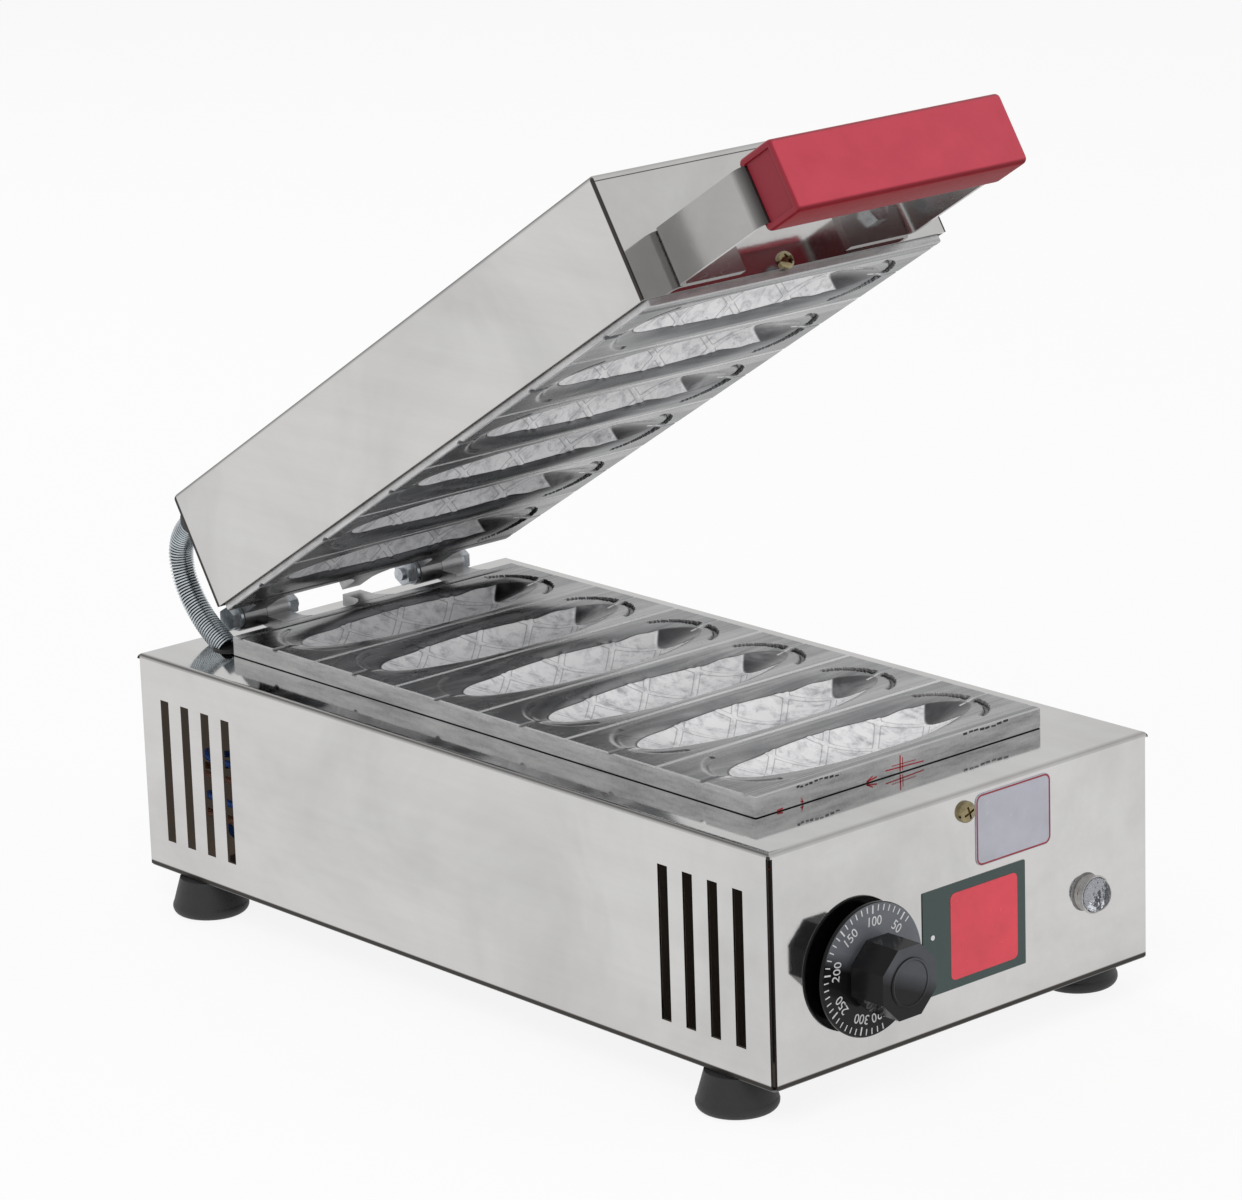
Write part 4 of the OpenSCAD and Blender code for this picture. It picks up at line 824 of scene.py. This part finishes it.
def plate_rest(node, matrix, sign):
    """Arms, knuckles, lug and back of a plate from its solid, moved by a matrix."""
    solid = bmesh.new()
    solid.from_mesh(nodes[node].data)
    moved(solid, matrix).normal_update()
    for mask, value in (("edge", 0.35), ("inside", NOT_INSIDE)):
        layer = solid.verts.layers.float.new(mask)
        for v in solid.verts:
            v[layer] = value
    rear = (PLATE_D / 2 + NEAR) * MM
    under = -(PLATE_H - NEAR) * MM
    drop = []
    for f in solid.faces:
        behind = f.calc_center_median().y > rear
        below = f.normal.z * sign < 0.5 and all(sign * v.co.z < under for v in f.verts)
        if not (behind or below):
            drop.append(f)
    bmesh.ops.delete(solid, geom=drop, context="FACES")
    bmesh.ops.remove_doubles(solid, verts=solid.verts, dist=1e-6)
    # The back is drawn in to the seam's chamfer
    max_x, max_y = (PLATE_W / 2 - SEAM) * MM, (PLATE_D / 2 - SEAM) * MM
    for v in solid.verts:
        on_seam = abs(sign * v.co.z + PLATE_H * MM) < 1e-5
        if on_seam and v.co.y < (PLATE_D / 2 - NEAR) * MM:
            v.co.x = max(-max_x, min(max_x, v.co.x))
            v.co.y = max(-max_y, v.co.y)
    return solid


def make_plate(name, node, body, matrix, sign, place):
    bm, rows = plate_face(sign)
    add_plate_walls(bm, rows, sign)
    plate = join(bm, plate_rest(node, matrix, sign))
    obj = piece(name, plate, node, body, place, 28)
    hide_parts(node)


make_plate("lower_casting", "lower_plate", "base", to_local(FACE_Z), 1,
           at(0, SHIFT.y, FACE_Z + SHIFT.z))
make_plate("upper_casting", "upper_plate", "lid", to_local(LID_FACE_Z, True), -1,
           in_lid(0, 0, LID_FACE_Z))


# Grip: rounded bar with a sunk panel at each end and a groove for the flat bar

GRIP_L, GRIP_T, GRIP_H, GRIP_R = 128.6, 22, 31.5, 2.6


def make_grip():
    back = LID_D / 2 + BAR_OUT - BAR_T
    # How far from its end the grip's outline has grown or shrunk by how much
    end = [(1.2, -3.2), (1.2, -3.0), (0.15, -2.8), (0, -2.4), (0, -1.0), (0.35, -0.4),
           (1.0, -0.08), (2.0, 0.0)]
    profile = [(x - GRIP_L / 2, grow) for x, grow in end]
    profile += [(-x, grow) for x, grow in profile[::-1]]
    bm = bmesh.new()
    rows = []
    for x, grow in profile:
        outline = rounded(GRIP_T + 2 * grow, GRIP_H + 2 * grow, max(GRIP_R + grow, 0.4), 5)
        rows.append([bm.verts.new((x * MM, y * MM, z * MM)) for y, z in outline])
    skin(bm, rows)
    bm.faces.new(rows[0][::-1])
    bm.faces.new(rows[-1])
    bmesh.ops.recalc_face_normals(bm, faces=bm.faces)
    obj = piece("grip_moulding", bm, "red", None,
                in_lid(0, -back - GRIP_T / 2, BRACKET_Z))
    # Groove in the back, cut with a box as the source does
    half = BAR_H / 2 + 0.05
    groove = prism(box_outline(-100, 100, -BAR_T, 8), -half, half)
    cut_away(obj, moved(groove, in_lid(0, -back, BRACKET_Z)))
    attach(obj, "lid")
    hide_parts("handle_grip")


make_grip()


# Brass-coloured screws: rounded pan heads with a cross recess

SHANK_R, CROSS_HALF, CROSS_DEPTH, CROSS_TURN = 2, 0.5, 1.2, 20


def pan_head(name, node, body, place, r, h, shank):
    dome = turned([(0, -shank), (SHANK_R, -shank), (SHANK_R, 0), (r, 0), (r, 0.3 * h),
                   (0.96 * r, 0.55 * h), (0.85 * r, 0.78 * h), (0.66 * r, 0.92 * h),
                   (0.4 * r, 0.985 * h), (0, h)])
    obj = piece(name, dome, "yellow_zinc", body, place)
    arm = 0.62 * r
    for angle in (CROSS_TURN, CROSS_TURN + 90):
        slot = prism(box_outline(-arm, arm, -CROSS_HALF, CROSS_HALF), h - CROSS_DEPTH, h + 1)
        cut_away(obj, moved(slot, Matrix.Rotation(math.radians(angle), 4, "Z"), place))
    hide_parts(node)


pan_head("front_screw_head", "front_screw", "base", on_front(0, BODY_H - SCREW_DOWN),
         4.6, 2.8, 6.3)
pan_head("lid_screw_head", "lid_screw", "lid", in_lid(-6, -LID_D / 2, COVER_Z + 3) @ UPRIGHT,
         3.95, 2.4, 2.9)


# Dial: disc with ticks and numbers, eight-sided knob with a bare cap

# Angles of the numbers, in degrees against the clock from three o'clock
DIGITS = {50: 47, 100: 86, 150: 126, 200: 168, 250: 211, 300: 251, 320: 279}
DIGIT_SIZE, DIGIT_R = 5.8, 20.2
TICKS, TICK_START, TICK_STEP, TICK_R = 36, 40, 6.9, 27.2


def text_mesh(body, size):
    """Flat mesh of plain digits, centred on the origin."""
    curve = bpy.data.curves.new("digits", "FONT")
    curve.body = body
    curve.size = size * MM
    curve.align_x = curve.align_y = "CENTER"
    curve.extrude = 0.05 * MM
    curve.resolution_u = 4
    obj = add_object("digits", curve)
    mesh = evaluated_mesh(obj)
    bpy.data.objects.remove(obj)
    bpy.data.curves.remove(curve)
    bm = bmesh.new()
    bm.from_mesh(mesh)
    bpy.data.meshes.remove(mesh)
    bmesh.ops.remove_doubles(bm, verts=bm.verts, dist=1e-6)
    return bm


def make_dial():
    place = on_front(DIAL_X, DIAL_Z)
    disc = turned([(3.1, 3.95), (27.4, 3.95), (28.15, 4.3), (28.25, 5.5), (27.9, 5.95),
                   (27.2, DISC_FRONT), (10.4, DISC_FRONT), (10.0, 6.3), (10.0, KNOB_BACK),
                   (3.1, KNOB_BACK), (3.1, 3.95)], 96)
    obj = piece("dial_disc_detail", disc, "disc", "dial", place)
    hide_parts("dial_disc")
    prints = []
    for number, angle in DIGITS.items():
        prints.append(moved(text_mesh(str(number), DIGIT_SIZE),
                            Matrix.Rotation(math.radians(angle) - math.pi / 2, 4, "Z"),
                            at(*polar(DIGIT_R, angle), DISC_FRONT + 0.03)))
    for k in range(TICKS):
        inner, half = (23.7, 0.34) if k % 6 == 1 else (24.6, 0.24)
        tick = prism(box_outline(inner, TICK_R, -half, half), DISC_FRONT - 0.04, DISC_FRONT + 0.08)
        angle = math.radians(TICK_START + TICK_STEP * k)
        prints.append(moved(tick, Matrix.Rotation(angle, 4, "Z")))
    piece("dial_print", join(*prints), "white", "dial", place)
    corner = KNOB_AF / 2 / math.cos(math.pi / 8)
    octagon = [polar(corner, 22.5 + 45 * k) for k in range(8)]
    knob = prism(octagon, KNOB_BACK, KNOB_REACH - 0.8, 1.1, 3)
    cap = turned([(r, KNOB_REACH - down) for r, down in (
        (9.2, 1.4), (10.5, 1.4), (10.5, 0.5), (10.2, 0.1), (9.8, 0), (9.4, 0.15), (9.2, 0.45),
        (0, 0.45), (0, 1.4))], 64)
    obj = piece("knob_detail", join(knob, cap), "black", "dial", place, 30)
    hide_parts("knob")


make_dial()


# Labels: bare panels, a rounded red field and a white index dot

PRINT_LOW, PRINT_HIGH = LABEL_T - 0.05, LABEL_T + 0.1
FIELD_W, FIELD_H, FIELD_R, FIELD_AT = 39.2, 37.6, 2.6, (5.6, -0.2)
DOT_X, DOT_Z, DOT_R = -20, 41.7, 1.1


def make_labels():
    control, info = on_front(CONTROL_X, CONTROL_Z), on_front(INFO_X, INFO_Z)
    green = prism(rounded(CONTROL_W, CONTROL_H, 0.5), 0, LABEL_T, 0.12, 1)
    obj = piece("control_panel", green, "green_panel", "base", control)
    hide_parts("control_label")
    field = prism(rounded(FIELD_W, FIELD_H, FIELD_R, middle=FIELD_AT), PRINT_LOW, PRINT_HIGH)
    piece("control_field", field, "red_panel", "base", control)
    dot = turned([(0, PRINT_LOW), (DOT_R, PRINT_LOW), (DOT_R, PRINT_HIGH), (0, PRINT_HIGH)], 24)
    piece("index_dot", dot, "white", "base", on_front(DOT_X, DOT_Z))
    lilac = prism(rounded(INFO_W, INFO_H, 3.5), 0, LABEL_T, 0.12, 1)
    obj = piece("info_panel", lilac, "lilac_panel", "base", info)
    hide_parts("info_label")
    outer = rounded(INFO_W - 0.6, INFO_H - 0.6, 3.2, 8)
    inner = rounded(INFO_W - 2, INFO_H - 2, 2.6, 8)
    high = LABEL_T + 0.08
    bm = bmesh.new()
    rings = [[bm.verts.new((x * MM, y * MM, z * MM)) for x, y in ring] for ring, z in (
        (outer, PRINT_LOW), (outer, high), (inner, high), (inner, PRINT_LOW))]
    skin(bm, rings + rings[:1])
    piece("info_border", bm, "border", "base", info)


make_labels()


# Pilot lamp: turned bezel, clear dome and the reflector behind it

DOME_R, DOME_FOOT, DOME_H = 7.3, 3.2, 5.75


def make_lamp():
    place = on_front(LAMP_X, LAMP_Z)
    bezel = turned([(5.6, 0), (7.7, 0), (7.85, 0.3), (7.6, 2.3), (8.0, 2.5), (8.35, 2.75),
                    (8.35, 3.1), (8.1, 3.3), (7.7, 3.3), (7.5, 3.1), (7.5, 1.0), (5.6, 1.0),
                    (5.6, 0)], 64)
    obj = piece("lamp_bezel_turned", bezel, "nickel", "base", place)
    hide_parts("pilot_lamp_bezel")
    dome = [(0, 1.6), (7.4, 1.6), (7.4, DOME_FOOT)]
    for k in range(13):
        a = math.radians(90 * k / 12)
        dome.append((DOME_R * math.cos(a), DOME_FOOT + DOME_H * math.sin(a)))
    obj = piece("lamp_lens_dome", turned(dome), "lens", "base", place, 50)
    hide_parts("pilot_lamp_lens")
    core = turned([(0, 1.05), (7.3, 1.05), (7.3, 1.5), (6.2, 1.3), (4.6, 1.2), (3.4, 1.5),
                   (0, 1.55)], 32)
    piece("lamp_reflector", core, "lamp_core", "base", place)


make_lamp()


# Conduit: close-wound spring that bends with the lid, and the lead inside it

ELBOW_TOP = Vector((0, 189.928, 104)) + SHIFT
BUSHING_END = Vector((0, 202.437, 156.152)) + SHIFT
WAY_LOW = Vector((0, *polar(1, 30)))
WAY_HIGH = Vector((0, math.cos(TILT), -math.sin(TILT)))
PULL_LOW = ELBOW_TOP + 24 * WAY_LOW
PULL_HIGH = BUSHING_END + 28 * WAY_HIGH
CONDUIT_X, CONDUIT_R, WIRE_R, WIRE_PITCH, LEAD_R = -77.5, 5.7, 0.45, 1.5, 4.75
ASIDE, ACROSS = Vector((CONDUIT_X, 0, 0)), Vector((1, 0, 0))
ROUND_STEPS = 20


def bezier(t):
    return ((1 - t) ** 3 * ELBOW_TOP + 3 * t * (1 - t) ** 2 * PULL_LOW
            + 3 * t ** 2 * (1 - t) * PULL_HIGH + t ** 3 * BUSHING_END)


def tube(points, sides, radius, count):
    """Closed tube along points; sides turn the rings."""
    bm = bmesh.new()
    rings = []
    for k, p in enumerate(points):
        t = (points[min(k + 1, len(points) - 1)] - points[max(k - 1, 0)]).normalized()
        v = t.cross(sides[k]).normalized()
        u = v.cross(t)
        ring = (polar(radius, 360 * j / count) for j in range(count))
        rings.append([bm.verts.new((p + a * u + b * v) * MM) for a, b in ring])
    skin(bm, rings)
    bm.faces.new(rings[0])
    bm.faces.new(rings[-1])
    return bm


def winding(spots):
    """Points of a wire wound round a curve, and their directions out of the curve."""
    run = [0.0]
    for a, b in zip(spots, spots[1:]):
        run.append(run[-1] + (b - a).length)
    total = round(run[-1] / WIRE_PITCH) * ROUND_STEPS
    margin = 0.7
    points, outs = [], []
    j = 0
    for k in range(total + 1):
        s = margin + (run[-1] - 2 * margin) * k / total
        while run[j + 1] < s:
            j += 1
        centre = spots[j].lerp(spots[j + 1], (s - run[j]) / (run[j + 1] - run[j]))
        up = ACROSS.cross((spots[j + 1] - spots[j]).normalized())
        a = 2 * math.pi * k / ROUND_STEPS
        out = math.cos(a) * up + math.sin(a) * ACROSS
        points.append(centre + (CONDUIT_R - WIRE_R) * out + ASIDE)
        outs.append(out)
    return points, outs


def make_conduit():
    foot = ELBOW_TOP - 9.5 * WAY_LOW
    spots = [foot.lerp(ELBOW_TOP, k / 30) for k in range(30)]
    spots += [bezier(k / 200) for k in range(201)]
    obj = piece("conduit_winding", tube(*winding(spots), WIRE_R, 8), "spring", None)
    inner = [p + ASIDE for p in spots[10::8] + [BUSHING_END - 3 * WAY_HIGH]]
    core = piece("conduit_lead", tube(inner, [ACROSS] * len(inner), LEAD_R, 24), "sleeve", None)
    for o in (obj, core):
        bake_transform(o, "base", "lid", start=tuple((ELBOW_TOP + ASIDE) * MM),
                 end=tuple((BUSHING_END + ASIDE) * MM))
    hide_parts("spring_conduit")
    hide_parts("lid_lead")
    # The elbow's neck ends in a thin ring that the spring covers
    neck = turned([(0, -10), (5.0, -10), (5.4, -9.6), (5.4, -0.3), (6.6, -0.3), (6.9, 0.0),
                   (6.9, 0.5), (6.5, 0.8), (0, 0.8)], 40)
    low = piece("elbow_neck", neck, "nylon", "base",
                at(CONDUIT_X, 183 + SHIFT.y, BODY_H + SHIFT.z))
    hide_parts("conduit_elbow")


make_conduit()


# Pen marks and chipped spots on the front edge of the lower plate

# Strokes of the pen: x and height of both ends, width
STROKES = ((-1, 107.6, -1.2, 100.6, 0.5), (0.4, 106.6, 0.3, 101, 0.3),
           (-9.6, 102.8, 12.6, 102.0, 0.4), (-6, 104.0, 8, 103.6, 0.25),
           (-20.6, 100.6, -14.7, 101.6, 0.5), (-20.6, 100.6, -17.0, 102.4, 0.4),
           (-71.2, 100.6, -67.9, 100.9, 0.5), (-58, 101.4, -56.5, 100.7, 0.5),
           (-57.4, 102.6, -56.6, 100.8, 0.4))


def stroke(x0, z0, x1, z1, width):
    """Thin flat stroke on the front edge of the lower plate."""
    d = Vector((x1 - x0, z1 - z0)).normalized()
    n = Vector((-d.y, d.x)) * width * 0.7
    outline = [(x0 - n.x, z0 - n.y), (x1 - n.x, z1 - n.y), (x1 + n.x, z1 + n.y),
               (x0 + n.x, z0 + n.y)]
    return moved(prism(outline, 0, 0.05), at(0, SHIFT.y - PLATE_D / 2, SHIFT.z) @ UPRIGHT)


def make_pen_marks():
    piece("pen_strokes", join(*[stroke(*s) for s in STROKES]), "pen", "base")
    chips = []
    for x, end in ((-60, -35), (36, 63)):
        while x < end:
            n = len(chips)
            long = 1.6 + 1.9 * abs(math.sin(3.1 * n))
            high = 107.9 + 0.35 * math.sin(5.3 * n)
            chips.append(stroke(x, high, min(x + long, end), high + 0.15 * math.cos(2.7 * n),
                                0.45 + 0.3 * abs(math.cos(4.1 * n))))
            x += long + 0.35 + 0.8 * abs(math.sin(1.7 * n))
    piece("chipped_spots", join(*chips), "soot", "base")


make_pen_marks()


# Floor, world, lights and camera

def show_apart(tree, output, plain, shown, share):
    """Shows the camera, mirrors and clear pieces a share of another shader."""
    out = tree.nodes.new(output)
    mix = tree.nodes.new("ShaderNodeMixShader")
    path = tree.nodes.new("ShaderNodeLightPath")
    seen = path.outputs["Is Camera Ray"]
    for what, other in (("MAXIMUM", path.outputs["Is Glossy Ray"]),
                        ("MAXIMUM", path.outputs["Is Transmission Ray"]), ("MULTIPLY", share)):
        n = tree.nodes.new("ShaderNodeMath")
        n.operation = what
        tree.links.new(seen, n.inputs[0])
        if isinstance(other, float):
            n.inputs[1].default_value = other
        else:
            tree.links.new(other, n.inputs[1])
        seen = n.outputs[0]
    for source, target in ((seen, mix.inputs[0]), (plain.outputs[0], mix.inputs[1]),
                           (shown.outputs[0], mix.inputs[2]), (mix.outputs[0], out.inputs[0])):
        tree.links.new(source, target)


def make_stage():
    material = bpy.data.materials.new("floor")
    material.use_nodes = True
    tree = material.node_tree
    tree.nodes.clear()
    diffuse = tree.nodes.new("ShaderNodeBsdfDiffuse")
    diffuse.inputs["Color"].default_value = rgba(0.92)
    glow = tree.nodes.new("ShaderNodeEmission")
    glow.inputs["Color"].default_value = rgba(1)
    show_apart(tree, "ShaderNodeOutputMaterial", diffuse, glow, 0.88)
    bm = bmesh.new()
    bmesh.ops.create_grid(bm, x_segments=1, y_segments=1, size=6)
    obj = add_object("floor", to_mesh("floor", bm))
    obj.data.materials.append(material)

    scene.world = bpy.data.worlds.new("studio")
    scene.world.use_nodes = True
    tree = scene.world.node_tree
    tree.nodes.clear()
    plain, bright = (tree.nodes.new("ShaderNodeBackground") for k in range(2))
    plain.inputs["Strength"].default_value = 0.55
    show_apart(tree, "ShaderNodeOutputWorld", plain, bright, 1.0)


def studio_light(name, where, target, size, power):
    data = bpy.data.lights.new(name, "AREA")
    data.shape, data.size, data.energy = "DISK", size, power
    obj = add_object(name, data)
    obj.location = where
    obj.visible_glossy = False
    obj.rotation_mode = "QUATERNION"
    obj.rotation_quaternion = (Vector(target) - Vector(where)).to_track_quat("-Z", "Y")


# The photo's camera, fitted to the housing's and the plates' edges: the axis of its turn,
# as long as the angle, and its place in the housing's frame
CAMERA_LENS = 146.5
CAMERA_TURN = Vector((1.743, -0.690, 0.478))
CAMERA_AT = Vector((-1395.9, -1587.9, 741.2))


def make_camera():
    data = bpy.data.cameras.new("camera")
    data.sensor_width = 36
    data.lens = CAMERA_LENS
    data.clip_start, data.clip_end = 0.05, 20
    cam = add_object("camera", data)
    turn = Matrix.Rotation(CAMERA_TURN.length, 4, CAMERA_TURN.normalized())
    # The fit looks along +z with y down, a camera here along -z with y up
    place = turn.transposed() @ Matrix.Diagonal((1, -1, -1, 1))
    place.translation = (CAMERA_AT + SHIFT) * MM
    cam.matrix_world = place
    scene.camera = cam


make_stage()
studio_light("key", (-1.4, -1.0, 2.0), (0, 0, 0.15), 1.6, 26)
studio_light("fill", (1.6, -1.8, 1.2), (0, 0, 0.1), 1.8, 12)
studio_light("back", (0.4, 1.8, 1.8), (0, 0.1, 0.2), 1.4, 14)
make_camera()
scene.view_settings.view_transform = "Standard"
